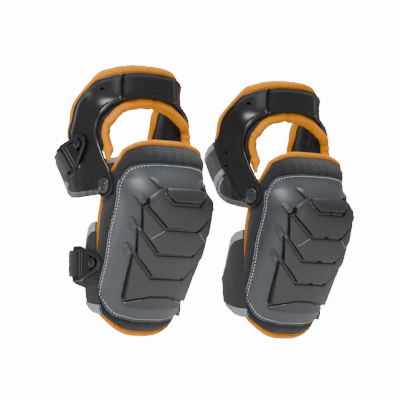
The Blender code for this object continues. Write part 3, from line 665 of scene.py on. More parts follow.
def even_line(places, step, closed=True):
    """The same line with places an even step apart."""
    places = np.array(places + places[:1] if closed else places, float)
    along = distances(places)
    count = int(along[-1] // step)
    at = np.linspace(0, along[-1], count + 1)
    at = at[:-1] if closed else at
    return [tuple(np.interp(s, along, places[:, c]) for c in (0, 1)) for s in at]


def flange_loop(step=2.0):
    right = flange_half_line()
    return even_line(right + [(-a, z) for a, z in reversed(right)], step)


FLANGE_LOOP = np.array(flange_loop())


def outside_flange(a, z):
    """Distance of a place from the flange's edge, positive outside it."""
    nearest = float(np.min(np.hypot(FLANGE_LOOP[:, 0] - a, FLANGE_LOOP[:, 1] - z)))
    inside = FLANGE_OUTLINE[0][0] < z < FLANGE_OUTLINE[-1][0] and abs(a) < smooth_value(FLANGE_OUTLINE, z)
    return -nearest if inside else nearest


def cover_lift(a, z, rim):
    """The cover swells between the flange's crease and the binding, rim millimetres away."""
    out = outside_flange(a, z)
    if out < 0:
        return 0.9
    width = out + rim
    swell = min(COVER_SWELL, COVER_SWELL_SLOPE * width) * math.sin(math.pi * min(out / width, 1) ** 0.7)
    creases = 0.28 * math.sin(a * 0.42 + 1.3 * math.sin(z * 0.11)) + wobble(a + 2 * z, 3.1, 0.35)
    return -0.5 + 1.1 * ease(out / 3) * ease(rim / 3) + swell + creases * swell / COVER_SWELL


def pad_cover():
    rows = []
    for v in spread(0, 1, 91):
        row = []
        for u in spread(-1, 1, 85):
            a, z = pad_place(*pad_margin(u, v, BINDING_WIDTH - COVER_TUCK))
            rim = min(min(1 - abs(u), 0.5) * 230, min(v, 1 - v) * 235)
            row.append((a, z, cover_lift(a, z, rim), -COVER_THICKNESS))
        rows.append(row)
    return sheet("pad", rows)


def pad_edge():
    """Places (u, v) on the pad's edge, once round."""
    across, upward = spread(-1, 1, 61)[:-1], spread(0, 1, 61)[:-1]
    outline = [(u, 0) for u in across] + [(1, v) for v in upward]
    return outline + [(-u, 1) for u in across] + [(-1, 1 - v) for v in upward]


# Inset from the pad's edge, lift of the tape's face, and from there to its inner face.
PAD_TAPE_SECTION = ((7.6, 0.3, -1.4), (7.3, 1.5, -1.4), (4.5, 2.1, -1.4), (1.6, 1.5, -1.4), (0.2, -0.6, -1.4),
                    (0, -4.5, 1.4), (0.3, -8.0, 1.4), (2.5, -10.2, 1.4), (5.5, -10.6, 1.4), (7.6, -10.0, 1.4))


def pad_binding():
    rows = []
    for n, (u, v) in enumerate(pad_edge()):
        uneven = wobble(n * 3.2, 1.9, 0.35)
        rows.append([(*pad_place(*pad_margin(u, v, inset)), lift + uneven * (lift > 1), lift + thick)
                     for inset, lift, thick in PAD_TAPE_SECTION])
    return sheet("pad", rows, closed=True)


def pad_binding_stitches():
    places = [pad_place(*pad_margin(u, v, 6.1)) for u, v in pad_edge()]
    return stitch_row(*face_path("pad", places, 2.15), *TAPE_STITCHES, closed=True)


def foam_liner():
    """The lining behind the foam: soft channels sewn across it, thinner to the edge."""
    rows = []
    for v in spread(0, 1, 65):
        row = []
        for u in spread(-1, 1, 57):
            a, z = pad_place(*pad_margin(u, v, BINDING_WIDTH - 1.0))
            middle = (1 - abs(u) ** 3) * (1 - abs(2 * v - 1) ** 4)
            seam = sum(hump(z, height, 3.2) for height in LINER_SEAMS)
            seam += hump(abs(a), 62, 3.0) * ease((z + 150) / 20) * ease((50 - z) / 20)
            thick = LINER_BACK_EDGE + (LINER_BACK_MIDDLE + 1.2 - LINER_BACK_EDGE) * middle
            back = -thick + LINER_SEAM_DEPTH * min(seam, 1) * middle + wobble(a + z, 0.7, 0.3)
            row.append((a, z, -5.2, back))
        rows.append(row)
    return sheet("pad", rows)


def gel_insert():
    """A domed, quilted pad over the kneecap, with a flat sewn rim."""
    half_width, half_height, middle = 36.0, 46.0, -28.0
    rows = []
    for s in spread(0, 1, 13):
        ring = []
        for turn in spread(0, 2 * math.pi, 65):
            r = max(s, 0.02)
            a, z = r * half_width * math.cos(turn), middle + r * half_height * math.sin(turn)
            dome = 3.6 * math.sqrt(max(1 - (r / 0.9) ** 2, 0)) if r < 0.9 else 0
            quilt = 0.5 * math.cos(a * 0.62) * math.cos(z * 0.54) * (dome > 1)
            ring.append((a, z, -15.0, -17.2 - dome - quilt))
        rows.append(ring)
    return sheet("pad", rows)


STITCH_INSET, ZIGZAG_STEP = 3.3, 2.2


def flange_plate():
    return sheet("pad", [[(half * t, z, FLANGE_FACE, FLANGE_BACK) for t in spread(-1, 1, 49)]
                         for half, z in flange_half_line(60)])


def flange_rim():
    """A welt along the flange's edge."""
    return bead(inset_line(flange_loop(2.2), 0.9, True), FLANGE_FACE - 0.15, 0.95, closed=True, flat=0.75)


def flange_seam():
    """A near-black line, painted shade, along the needle holes that the flange's stitches lie in."""
    places = inset_line(flange_loop(2.2), STITCH_INSET, True)
    return bead(places, FLANGE_FACE - 0.1, 0.85, closed=True, flat=0.35)


def flange_stitches():
    """Thread along the seam, and a zigzag over the flange's side edges."""
    shape = Shape()
    path = face_path("pad", inset_line(flange_loop(), STITCH_INSET, True), FLANGE_FACE + 0.3)
    stitch_row(*path, 2.5, 4.3, 0.5, closed=True, shape=shape)
    right = [(a, z) for a, z in flange_half_line() if -140 < z < 8]
    for mirror in (1, -1):
        side = even_line([(a * mirror, z) for a, z in right], ZIGZAG_STEP, closed=False)
        outer, inner = (inset_line(side, inset * mirror, False) for inset in (1.0, -1.5))
        zigzag = [(outer if n % 2 else inner)[n] for n in range(len(side))]
        for first, second in zip(zigzag[:-1], zigzag[1:]):
            places = line_between(first, second, (0.12, 0.35, 0.65, 0.88))
            lifts = [cover_lift(a, z, 20) + 0.5 if outside_flange(a, z) > 0 else FLANGE_FACE + 0.4
                     for a, z in places]
            bead(places, lifts, 0.3, shape, sides=5)
    return shape


def cap_columns(places):
    """A half row of places, outside to middle, with places between them: (a, z, share of the lift)."""
    line = []
    for n, (start, end) in enumerate(zip(places[:-1], places[1:])):
        steps = [(t, 1) for t in spread(0, 1, 7)[:-1]]
        if n == 0:
            wall = min(CAP_SIDE_WALL / max(math.dist(start, end), 1e-6), 0.8)
            steps = [(0, 0), (wall * 0.8, 0.9), (wall, 1), *((t, 1) for t in spread(wall, 1, 4)[1:-1])]
        shares = [t for t, _ in steps]
        line += [(a, z, share) for (a, z), (_, share) in zip(line_between(start, end, shares), steps)]
    return line + [(*places[-1], 1)]


def between(first, second, t):
    """A row of places, a share of the way from one row to another."""
    return tuple(line_between(start, end, [t])[0] for start, end in zip(first, second))


def cap_rows():
    """Rows from top to bottom: half a row of places, how far it is raised, and the lift of its middle."""
    last = len(CAP_PLATES) - 1
    first_upper, last_lower = CAP_PLATES[0][0], CAP_PLATES[last][1]
    rows = [(first_upper, 2.4, FLANGE_FACE), (first_upper, 0.9, CAP_TOP_EDGE - 1.2)]
    for n, (upper, lower) in enumerate(CAP_PLATES):
        high = CAP_LOW_EDGE if n < last else CAP_TOP_EDGE + 0.3
        if n:
            rows.append((upper, 0.55, CAP_CREASE))
        rows += [(upper, 0, CAP_TOP_EDGE - 0.35), (upper, -0.7, CAP_TOP_EDGE)]
        rows += [(between(upper, lower, t), 0, CAP_TOP_EDGE + (high - CAP_TOP_EDGE) * t)
                 for t in spread(0.12, 0.88, 8)]
        rows += [(lower, 0.8, high), (lower, 0, high - 0.5)]
        if n < last:
            rows += [(between(lower, CAP_PLATES[n + 1][0], t), 0, lift) for t, lift in CAP_CHANNEL]
    return rows + [(last_lower, -1.0, CAP_TOP_EDGE - 2.5), (last_lower, -2.2, FLANGE_FACE)]


def knee_cap():
    rows = []
    for places, rise, lift in cap_rows():
        half = cap_columns(places)
        line = [(-a, z, share) for a, z, share in half[:-1]] + list(reversed(half))
        rows.append([(a, z + rise, FLANGE_FACE + (lift - FLANGE_FACE) * share, FLANGE_BACK + 0.4)
                     for a, z, share in line])
    return sheet("pad", rows)


def cap_channels():
    """The walls and channels between the plates, and the walls down the cap's sides, in near-black: painted
    shade.
    """
    shape = Shape()
    for mirror in (1, -1):
        for n in range(len(CAP_PLATES) - 2):
            lower, below, skip = CAP_PLATES[n][1], CAP_PLATES[n + 1][0], 2
            if n == 0:
                lower, below, skip = lower[2:], below[2:], 0
            sheet("pad", [[(mirror * a, z, lift + 0.2, lift - 0.8) for a, z, _ in
                           cap_columns(between(lower, below, t))[skip:]]
                          for t, lift in ((0.03, CAP_LOW_EDGE - 0.7), *CAP_CHANNEL)], shape=shape)
        for upper, lower in CAP_PLATES[1:5]:
            rows = []
            for t in spread(0, 1, 10):
                top = CAP_TOP_EDGE + (CAP_LOW_EDGE - CAP_TOP_EDGE) * t - FLANGE_FACE
                wall = [(mirror * a, z, FLANGE_FACE + top * share)
                        for a, z, share in cap_columns(between(upper, lower, t))[:3]]
                rows.append([(a, z, lift + 0.16, lift - 0.6) for a, z, lift in wall])
            sheet("pad", rows, shape=shape)
    return shape


# Edges of facets on the plates' arms, where the moulding catches the light, drawn as light-grey beads as a
# painted
# highlight: the ends of each, and how high each end stands over the plates' upper edges.
CAP_FACET_EDGES = (((42, -64), (27, -54.5), 2.34, 0.26), ((47, -142.5), (26, -137.5), 0.1, 0.1))


def cap_facet_edges():
    shape = Shape()
    for mirror in (1, -1):
        for start, end, first_rise, last_rise in CAP_FACET_EDGES:
            places = [(mirror * a, z) for a, z in line_between(start, end, spread(0, 1, 9))]
            lifts = [CAP_TOP_EDGE + rise for rise in spread(first_rise, last_rise, 9)]
            # A light-grey bead: a painted highlight along the facet edge.
            bead(places, lifts, 0.5, shape, sides=6)
    return shape


def cap_bead():
    """The flange's thin raised bead beside the cap's arms."""
    shape = Shape()
    for mirror in (1, -1):
        for upper, lower in CAP_PLATES[1:5]:
            places = [(mirror * (a + 0.9), z) for a, z in line_between(upper[0], lower[0], spread(0, 1, 8))]
            bead(places, FLANGE_FACE, 0.8, shape)
    return shape


# Tabs that run from the flange into the cap's side notches: centre and direction of each.
FLANGE_TABS = (((38.6, 1.5), (7, 10)), ((61.5, -17.5), (11, 12)), ((66.0, -46.5), (10, 12)),
               ((64.5, -77.5), (10, 12)))
TAB_HALF_LENGTH, TAB_HALF_WIDTH, TAB_LIFT = 7.5, 2.6, 9.2
TAB_SECTION = ((-1.12, 0), (-1, 0.86), (-0.8, 1), (0.8, 1), (1, 0.86), (1.12, 0))


def flange_tabs():
    shape = Shape()
    for mirror in (1, -1):
        for centre, way in FLANGE_TABS:
            way = np.array(way, float) / math.hypot(*way)
            across = np.array([-way[1], way[0]])
            rows = []
            for s in (-1.04, -1, *spread(-0.9, 0.9, 9), 1):
                rise = (TAB_LIFT - FLANGE_FACE) * (1 - 0.6 * ease((s + 0.4) / 1.4)) * (s > -1.02)
                row = []
                for t, share in TAB_SECTION:
                    a, z = np.array(centre) + way * s * TAB_HALF_LENGTH + across * t * TAB_HALF_WIDTH
                    row.append((mirror * a, z, FLANGE_FACE - 0.2 + rise * share, FLANGE_BACK + 0.3))
                rows.append(row)
            sheet("pad", rows, shape=shape)
    return shape


# --- the cuff --------------------------------------------------------------------------------------

def cuff_place(kind, value, z):
    """Place on the cuff's face from a station's entry."""
    return np.array([value if kind == "a" else along_at_y("cuff", value, z), z])


# Opening edge and outer edge at each whole station from the middle.
CUFF_LINES = [(cuff_place(*low), cuff_place(*high)) for low, high in CUFF_STATIONS]


def cuff_at(s):
    """Opening and outer edge at a station number, on a smooth curve; negative is the outer side."""
    mirror = -1 if s < 0 else 1
    s = min(abs(s), len(CUFF_LINES) - 1 - 1e-9)
    i = int(s)
    near = [CUFF_LINES[min(abs(k), len(CUFF_LINES) - 1)] for k in range(i - 1, i + 3)]
    if i == 0:
        near[0] = [edge * (-1, 1) for edge in near[0]]
    return [through(*(lines[edge] for lines in near), s - i) * (mirror, 1) for edge in (0, 1)]


def beyond(edge, other, distance):
    way = edge - other
    return edge + way * distance / np.linalg.norm(way)


# Share of the way from the opening edge to the outer edge, and lift of the frame's face.
FRAME_SECTION = ((0, 0.4), (0.015, 1.3), (0.05, 1.9), (0.09, 1.7), (0.12, 0.4), (0.16, 0), (0.3, 0),
                 (0.45, 0), (0.6, 0), (0.75, 0), (0.84, 0), (0.87, 0.3), (0.9, 1.2), (0.95, 1.5),
                 (0.985, 1.1), (1, 0.2))


def frame_stations():
    stations = [k / 3 for k in range(3 * (len(CUFF_LINES) - 1) + 1)]
    stations = [s for s in stations if abs(s - RIDGE_STATION) > 1.1]
    stations += [RIDGE_STATION + t for t in (-1, -0.88, -0.8, -0.4, 0, 0.4, 0.8, 0.88, 1)]
    half = sorted(set(round(s, 3) for s in stations))
    return [-s for s in reversed(half[1:])] + half


def cuff_frame():
    """The moulded arch: raised lips along both edges, and grooves beside a sunk middle panel."""
    rows = []
    for s in frame_stations():
        low, high = cuff_at(s)
        off_ridge = abs(abs(s) - RIDGE_STATION)
        floor = PANEL_FLOOR * (abs(s) < RIDGE_STATION)
        if off_ridge < 1:
            floor = GROOVE_FLOOR * max(1 - off_ridge / 0.84, 0) + 0.5 * (0.8 < off_ridge < 0.95)
        rows.append([(*(low + (high - low) * t), lip + floor * (0.03 < t < 0.97), -CUFF_THICKNESS)
                     for t, lip in FRAME_SECTION])
    return sheet("cuff", rows)


def both_ends(x, profile):
    """A turned body on the outer side and one on the inner side."""
    shape = Shape()
    for side in (-1, 1):
        lathe((side * x, 0, 0), profile, shape=shape)
    return shape


def cuff_boss():
    """The round end of each arm, with a raised rim."""
    base = CUFF_HALF_WIDTH - CUFF_THICKNESS
    deep, radius = BOSS_FACE - base, BOSS_RADIUS
    return both_ends(base, ((0, radius - 0.4), (deep - 1.2, radius), (deep + 0.1, radius - 0.3),
                            (deep + 0.7, radius - 1.2), (deep + 0.6, radius - 2.4),
                            (deep - 0.2, radius - 3.1), (deep - 0.3, 2.0)))


def hinge_rivet():
    """A round head with a stepped face and a dished middle."""
    top, radius = RIVET_TOP - RIVET_FACE, RIVET_HEAD_RADIUS
    rim = ((-1.5, radius - 0.8), (0, radius), (0.9, radius), (1.7, radius - 0.5), (top - 0.4, radius - 1.6))
    step = ((top - 0.1, radius - 3.0), (top - 0.9, radius - 3.6), (top - 0.9, 5.2), (top - 0.3, 4.7))
    return both_ends(RIVET_FACE, (*rim, *step, (top, 3.4), (top - 0.1, 1.9), (top - 1.2, 1.3)))


def band_stations(last, steps):
    return spread(-last, last, round(2 * last * steps) + 1)


def cuff_cushion():
    """Foam between the two bindings, crowned on the inside, with a sewn line along its middle."""
    rows = []
    for s in band_stations(CUSHION_LAST_STATION, 4):
        low, high = cuff_at(s)
        start, end = beyond(low, high, OPENING_TAPE_START + 1.2), beyond(high, low, TOP_TAPE_START + 1.2)
        row = []
        for t in spread(0, 1, 15):
            crown = math.sqrt(max(1 - (2 * t - 1) ** 4, 0))
            front = -CUFF_THICKNESS - 1.2 - 0.8 * (1 - crown)
            back = 3.0 - CUSHION_BACK - 4.2 * crown + 2.6 * hump(t, 0.5, 0.045)
            row.append((*(start + (end - start) * t), front, back + wobble(s * 9 + 30 * t, 0.4, 0.35)))
        rows.append(row)
    return sheet("cuff", rows)


TAPE_BACKING = -CUFF_THICKNESS - 2.2
# Share of the tape's width, and lift of its face from its backing.
CUFF_TAPE_SECTION = ((0, 0.2), (0.06, 1.0), (0.4, 1.5), (0.75, 1.1), (0.95, -1.0), (1.0, -5.0), (0.93, -9.4),
                     (0.7, -11.2), (0.35, -11.5), (0, -11.0))
# Where the tape is gathered as it turns: (station, depth of the fold in mm).
OPENING_FOLDS = ((0.6, 2.4), (7.6, 2.6), (8.3, 1.6), (-8.2, 1.2))


def opening_rise(s):
    """How much nearer to the frame the opening's tape lies, most at the arch's middle."""
    return OPENING_MIDDLE_RISE * (1 - ease((abs(s) - 3) / 4))


def cuff_tape(edge, reach_out, folds, seed):
    """Tape folded over the cushion's edge: edge 0 is the opening, edge 1 the top."""
    rows = []
    for s in band_stations(TAPE_LAST_STATION if edge == 0 else CUSHION_LAST_STATION, 6):
        edges = cuff_at(s)
        start, out, taper = -TAPE_UNDER_FRAME, reach_out, 0
        if edge == 0:
            taper = ease((abs(s) - TAPE_TAPER_START) / (TAPE_LAST_STATION - TAPE_TAPER_START))
            below = ease((abs(s) - 11.4) / 0.5)
            out = reach_out * (1 - taper * (1 - TAPE_END_SHARE)) - opening_rise(s)
            start = (OPENING_TAPE_START - opening_rise(s)) * (1 - below) - TAPE_UNDER_FRAME * below
        fold = sum(depth * hump(s, place, 0.16) for place, depth in folds)
        uneven = wobble(s * 11, seed, 0.5)
        inside = 1.3 * (1 - 0.7 * taper)
        row = []
        for t, lift in CUFF_TAPE_SECTION:
            lift *= 1 - 0.85 * taper * (lift < 0)
            place = beyond(edges[edge], edges[1 - edge], start + (out - start + uneven - fold * 0.6) * t)
            outer_face = TAPE_BACKING + lift + (uneven * 0.5 - fold) * (lift > 0)
            inner_face = TAPE_BACKING + lift + (inside if lift <= -5 + 4.5 * taper else -inside)
            row.append((*place, outer_face, inner_face))
        rows.append(row)
    return sheet("cuff", rows)


def cuff_tape_stitches():
    shape = Shape()
    for edge, start, short in ((0, OPENING_TAPE_START, 0.4), (1, 0.4, 0)):
        places = []
        for s in band_stations(CUSHION_LAST_STATION - short, 6):
            edges = cuff_at(s)
            rise = opening_rise(s) if edge == 0 else 0
            places.append(beyond(edges[edge], edges[1 - edge], start - rise + 1.7))
        stitch_row(*face_path("cuff", places, TAPE_BACKING + 1.5), *TAPE_STITCHES, shape=shape)
    return shape


# --- clips, studs, straps and wings ----------------------------------------------------------------

class ClipPlane:
    """A clip's plane: origin on the strap bar, u towards the stud, v along the bar, n outwards."""

    def __init__(self, bar, tilt):
        self.origin = np.array(bar, float)
        self.u = np.array([0, -math.cos(tilt), math.sin(tilt)])
        self.v = np.array([0, math.sin(tilt), math.cos(tilt)])
        self.n = np.array([-1.0, 0, 0])

    def at(self, u, v, n=0.0):
        return self.origin + u * self.u + v * self.v + n * self.n


THIGH_PLANE, CALF_PLANE = ClipPlane(THIGH_BAR, THIGH_TILT), ClipPlane(CALF_BAR, CALF_TILT)


def arc(centre, radius, start, end, count):
    cu, cv = centre
    return [(cu + radius * math.cos(t), cv + radius * math.sin(t)) for t in spread(start, end, count)]


# Share of the way from the outer edge to the window, and share of the thickness.
CLIP_SECTION = ((0, 0.55), (0.06, 0.85), (0.18, 1.0), (0.34, 0.98), (0.42, 0.8), (0.62, 0.8), (0.7, 0.95),
                (0.85, 0.95), (0.96, 0.8), (1, 0.5))
CLIP_WEB_START, WEB_HALF = 6.2, 0.9
RIB_STARTS, RIB_WIDTH, RIB_HALF = (8.2, 13.0), 2.8, 1.9


def clip_outline(start, half, corner, shoulder, nose):
    """A clip's outline: square at the strap's end, round at the stud's; shoulder is where it narrows."""
    quarter = math.radians(62)
    lower = arc((start + corner, corner - half), corner, -math.pi, -math.pi / 2, 5)
    lower += [(shoulder[0], -half), (shoulder[1], -half + shoulder[2])]
    upper = [(u, -v) for u, v in reversed(lower)]
    return lower + arc((CLIP_STUD_DISTANCE, 0), nose, -quarter, quarter, 21) + upper


def strap_clip(plane):
    """A triangular slide: rounded frame with a sunk face, and a ribbed web between slot and stud."""
    outer = clip_outline(-CLIP_BAR_WIDTH, CLIP_BAR_HALF, 3.2, (9, 12, 0.7), CLIP_NOSE_RADIUS)
    window = clip_outline(CLIP_BAR_WIDTH, CLIP_SLOT_HALF, 1.2, (CLIP_SLOT_END, 11, 0.8), CLIP_WINDOW_RADIUS)
    grids = ([], [])
    for (ou, ov), (wu, wv) in zip(outer, window):
        for grid, n in zip(grids, (CLIP_THICKNESS / 2, -CLIP_THICKNESS / 2)):
            grid.append([plane.at(ou + (wu - ou) * t, ov + (wv - ov) * t, n * h) for t, h in CLIP_SECTION])
    shape = slab(*grids, closed=True)
    web = [(u, CLIP_SLOT_HALF + 1.0 - max(u - 11, 0) * 0.56, WEB_HALF) for u in
           spread(CLIP_WEB_START, CLIP_STUD_DISTANCE - STUD_HEAD_RADIUS - 0.4, 9)]
    ribs = [[(u, CLIP_SLOT_HALF + 0.4, RIB_HALF * share) for u, share in
             zip(spread(start, start + RIB_WIDTH, 5), (0.3, 0.85, 1, 0.85, 0.3))] for start in RIB_STARTS]
    for rows in (web, *ribs):
        slab(*([[plane.at(u, v, side * thick) for v in spread(-half, half, 5)] for u, half, thick in rows]
               for side in (1, -1)), shape=shape)
    return shape


def stud(plane, base):
    """A round button on its stem, with a dished face; base is where the stem starts."""
    _, y, z = plane.at(CLIP_STUD_DISTANCE, 0)
    deep = abs(plane.origin[0] - CLIP_THICKNESS / 2 - 0.8 - base)
    radius = STUD_HEAD_RADIUS
    return lathe((base, y, z), ((0, 4.6), (deep - 0.3, 4.6), (deep, radius - 0.3), (deep + 0.6, radius),
                                (deep + 1.5, radius - 0.3), (deep + 2.2, radius - 1.3), (deep + 2.3, 3.6),
                                (deep + 1.2, 2.9), (deep + 0.9, 1.0)))


def strap_lines(plane, route):
    """Rows along a strap (place, width's direction, width): tail, loop round the bar, then its route."""
    middles = []
    for u in spread(-TAIL_LENGTH, -6, 3):
        middles.append((u, 1.5 + (LOOP_RADIUS - 1.5) * (u + TAIL_LENGTH) / (TAIL_LENGTH - 6)))
    middles += arc((0, 0), LOOP_RADIUS, math.pi / 2, -math.pi / 2, 17)
    middles.append((-6, 0.6 - LOOP_RADIUS))
    rows = [np.concatenate([plane.at(u, 0, n), plane.v, [LOOP_WIDTH]]) for u, n in middles]
    stations = [rows.pop()]
    for x, y, z, tilt, width in route:
        turn = math.radians(tilt)
        stations.append(np.array([x, y, z, 0, math.sin(turn), math.cos(turn), width]))
    for i in range(len(stations) - 1):
        near = [stations[min(max(k, 0), len(stations) - 1)] for k in range(i - 1, i + 3)]
        rows += [through(*near, t) for t in spread(0, 1, 7)[:-1]]
    return rows + [stations[-1]]


def strap_body(plane, route, band=(-0.5, 0.5), thickness=STRAP_THICKNESS, skip=0, seed=1.0):
    """The strap, or a band of its width, from a station on."""
    lines = strap_lines(plane, route)
    front, back = [], []
    for n, line in enumerate(lines):
        if n < skip:
            continue
        before, after = lines[max(n - 1, 0)][:3], lines[min(n + 1, len(lines) - 1)][:3]
        along = line[3:6] / np.linalg.norm(line[3:6])
        normal = np.cross(after - before, along)
        normal /= np.linalg.norm(normal)
        free = ease((n - 30) / 20) * ease((len(lines) - n) / 15)
        sway = wobble(n * 4.0, seed, 1.1) * free
        line_front, line_back = [], []
        for t in spread(band[0], band[1], 9):
            edge = abs(2 * (t - band[0]) / (band[1] - band[0]) - 1)
            half = thickness / 2 * math.sqrt(max(1 - edge ** 6, 0.12))
            centre = line[:3] + along * line[6] * t + normal * sway * math.cos(t * 3)
            line_front.append(centre + normal * half)
            line_back.append(centre - normal * half)
        front.append(line_front)
        back.append(line_back)
    return slab(front, back)


def calf_wing(side, rows, band, lift, thickness):
    """A fabric wing outside the pad's rear edge, or a band of its height; side -1 is the outer side."""
    ys = [row[0] for row in rows]
    front, back = [], []
    for y in spread(ys[0], ys[-1], 17):
        high, low = (np.interp(y, ys, [row[k] for row in rows]) for k in (1, 2))
        bend = CALF_WING_BEND * max(y - CALF_WING_BEND_START, 0) ** 2
        line, under = [], []
        for t in spread(*band, 21):
            z = high + (low - high) * t
            puff = 0.9 * math.sin(math.pi * t) * ease((y - ys[0]) / 8) * ease((ys[-1] - y) / 8)
            puff += wobble(z + 1.5 * y, 2.2, 0.5)
            x = smooth_value(PAD_HALF_WIDTH, z) + lift - bend
            line.append((side * (x + thickness + puff), y, z))
            under.append((side * (x + puff * 0.5), y, z))
        front.append(line)
        back.append(under)
    return slab(front, back)


def thigh_wing(band, out, thickness, length=(0.0, 1.0)):
    """The fabric wing inside the frame's inner rear edge, or a band of its height and length."""
    start, end, half, slope = THIGH_WING
    outer_face = CUFF_HALF_WIDTH - CUFF_THICKNESS - 0.4 + out
    front, back = [], []
    for k in spread(*length, 17):
        y = start + (end - start) * k
        centre = THIGH_WING_START_HEIGHT - (y - start) * math.tan(slope)
        bend = THIGH_WING_BEND * max(y - THIGH_WING_BEND_START, 0) ** 2
        line, under = [], []
        for t in spread(*band, 15):
            puff = (0.8 * (1 - t * t) + wobble(y + 20 * t, 1.2, 0.3)) * ease((y - 60) / 20)
            place = (y + half * t * math.sin(slope), centre + half * t * math.cos(slope))
            line.append((outer_face - bend + puff, *place))
            under.append((outer_face - thickness - bend - puff, *place))
        front.append(line)
        back.append(under)
    return slab(front, back)


# --- putting it together ---------------------------------------------------------------------------

def drill(pieces):
    """The frame's small round holes: start of each drill, and how deep it goes."""
    holes = [((60, y, z), 40) for y, z in CUFF_WING_HOLES]
    for x in (-40, 40):
        _, y, z = on_face("cuff", math.copysign(CUFF_FRONT_HOLE[0], x), CUFF_FRONT_HOLE[1], 0)
        holes.append(((x, y, z), 60))
    for piece, (_, side) in zip(pieces, SIDES):
        for start, deep in holes:
            cut(piece, side, lathe(start, ((0, CUFF_HOLE_RADIUS), (deep, CUFF_HOLE_RADIUS)), 20))
        piece.data.set_sharp_from_angle(angle=math.radians(32))


def cut(piece, side, shape):
    """Cuts a shape out of a piece."""
    tool = shape.object("drill", side, PLASTIC, 40)
    change = piece.modifiers.new("cut", "BOOLEAN")
    change.object = tool
    change.operation = "DIFFERENCE"
    change.solver = "EXACT"
    settle(piece)
    bpy.data.objects.remove(tool, do_unlink=True)


def settle(piece):
    """Applies a piece's modifiers."""
    graph = bpy.context.evaluated_depsgraph_get()
    mesh = bpy.data.meshes.new_from_object(piece.evaluated_get(graph))
    piece.modifiers.clear()
    piece.data = mesh


LEG_AXIS_Y = 60.0
VOXEL, PRESSURE, SWELL_FRAMES = 4.5, 4.0, 20
SWELL_TOWARDS_LEG, SWELL_AWAY = 2.6, 0.3


def swell(shape, seams=False):
    """Foam in its cover: the form swells under pressure as cloth, mostly towards the leg.

    The remeshed form has lost its sewn lines, so the liner's are pressed in again afterwards.
    """
    soft = shape.object("swelling_form", 1, LINING, 60)
    voxels = soft.modifiers.new("voxels", "REMESH")
    voxels.mode = "VOXEL"
    voxels.voxel_size = VOXEL * METRES
    settle(soft)
    rest = np.array([vertex.co for vertex in soft.data.vertices])
    cloth = soft.modifiers.new("swell", "CLOTH").settings
    cloth.use_pressure = True
    cloth.uniform_pressure_force = PRESSURE
    cloth.effector_weights.gravity = 0
    cloth.quality = 5
    for moment in range(1, SWELL_FRAMES + 1):
        bpy.context.scene.frame_set(moment)
    settle(soft)
    bpy.context.scene.frame_set(1)
    moved = np.array([vertex.co for vertex in soft.data.vertices]) - rest
    middle = np.array([-HALF_SPACING, LEG_AXIS_Y, 0]) * METRES
    to_leg = middle - rest
    to_leg[:, 2] = 0
    to_leg /= np.linalg.norm(to_leg, axis=1)[:, None]
    length = np.linalg.norm(moved, axis=1)
    inwards = np.sum(moved * to_leg, axis=1) > 0
    most = np.where(inwards, SWELL_TOWARDS_LEG, SWELL_AWAY) * METRES
    points = rest + moved * np.minimum(1, most / np.maximum(length, 1e-9))[:, None]
    local = points / METRES + (HALF_SPACING, 0, 0)
    if seams:
        depth = sum(np.exp(-((local[:, 2] - height) / LINER_SEAM_WIDTH) ** 2) for height in LINER_SEAMS)
        depth += np.exp(-((np.abs(local[:, 0]) - LINER_SIDE_SEAM) / LINER_SEAM_WIDTH) ** 2)
        local -= to_leg * (np.minimum(depth, 1) * LINER_SEAM_DEPTH * inwards)[:, None]
    result = Shape()
    faces = [tuple(face.vertices) for face in soft.data.polygons]
    places = [[(local[k][0] + local[k][1], local[k][2]) for k in face] for face in faces]
    result.add(local, faces, places)
    bpy.data.objects.remove(soft, do_unlink=True)
    return result


def build_pad():
    pair("cover_fabric", pad_cover(), "pad", FABRIC, ["pad_cover"], smooth=70)
    pair("edge_tape", pad_binding(), "pad", TAPE, ["pad_binding"], levels=1)
    pair("edge_tape_stitches", pad_binding_stitches(), "pad", TAPE_THREAD)
    lining = swell(foam_liner(), seams=True)
    pair("foam_lining", lining, "pad", LINING, ["foam_liner"], levels=1)
    pair("gel_pad", gel_insert(), "pad", GEL, ["gel_insert"], smooth=70)
    pair("grey_flange", flange_plate(), "pad", SHELL, ["flange_plate"], smooth=50)
    pair("grey_flange_rim", flange_rim(), "pad", SHELL)
    pair("grey_flange_tabs", flange_tabs(), "pad", SHELL, smooth=30)
    pair("grey_flange_bead", cap_bead(), "pad", SHELL)
    pair("flange_seam", flange_seam(), "pad", PAINTED_SHADE_BLACK)
    pair("flange_stitches", flange_stitches(), "pad", THREAD)
    pair("ribbed_cap", knee_cap(), "pad", CAP, ["knee_cap"], smooth=24)
    pair("cap_channels", cap_channels(), "pad", PAINTED_SHADE_BLACK, smooth=30)
    pair("cap_facet_edges", cap_facet_edges(), "pad", EDGE_HIGHLIGHT_PAINT)
    rivets = ["outer_hinge_rivet", "inner_hinge_rivet"]
    pair("rivets", hinge_rivet(), "pad", RIVET, rivets, smooth=35)
    base = -(smooth_value(PAD_HALF_WIDTH, CALF_BAR[2]) + CALF_WING_LIFT + WING_THICKNESS + 0.4)
    pair("calf_button", stud(CALF_PLANE, base), "pad", PLASTIC, ["calf_stud"], smooth=35)
    for name, side, rows in (("outer", -1, OUTER_CALF_WING), ("inner", 1, INNER_CALF_WING)):
        wing = calf_wing(side, rows, (0, 1), CALF_WING_LIFT, WING_THICKNESS)
        node = f"{name}_calf_wing"
        pair(f"{node}_fabric", wing, "pad", MESH, [node], smooth=60)
        for end, band in (("top", (-0.004, 0.1)), ("bottom", (0.9, 1.004))):
            trim = calf_wing(side, rows, band, CALF_WING_LIFT - 0.5, WING_THICKNESS + 1.1)
            pair(f"{node}_{end}_trim", trim, "pad", TRIM, smooth=60)
    strap = strap_body(CALF_PLANE, CALF_ROUTE, seed=2.0)
    pair("calf_webbing", strap, "pad", WEBBING, ["calf_strap"], smooth=60)


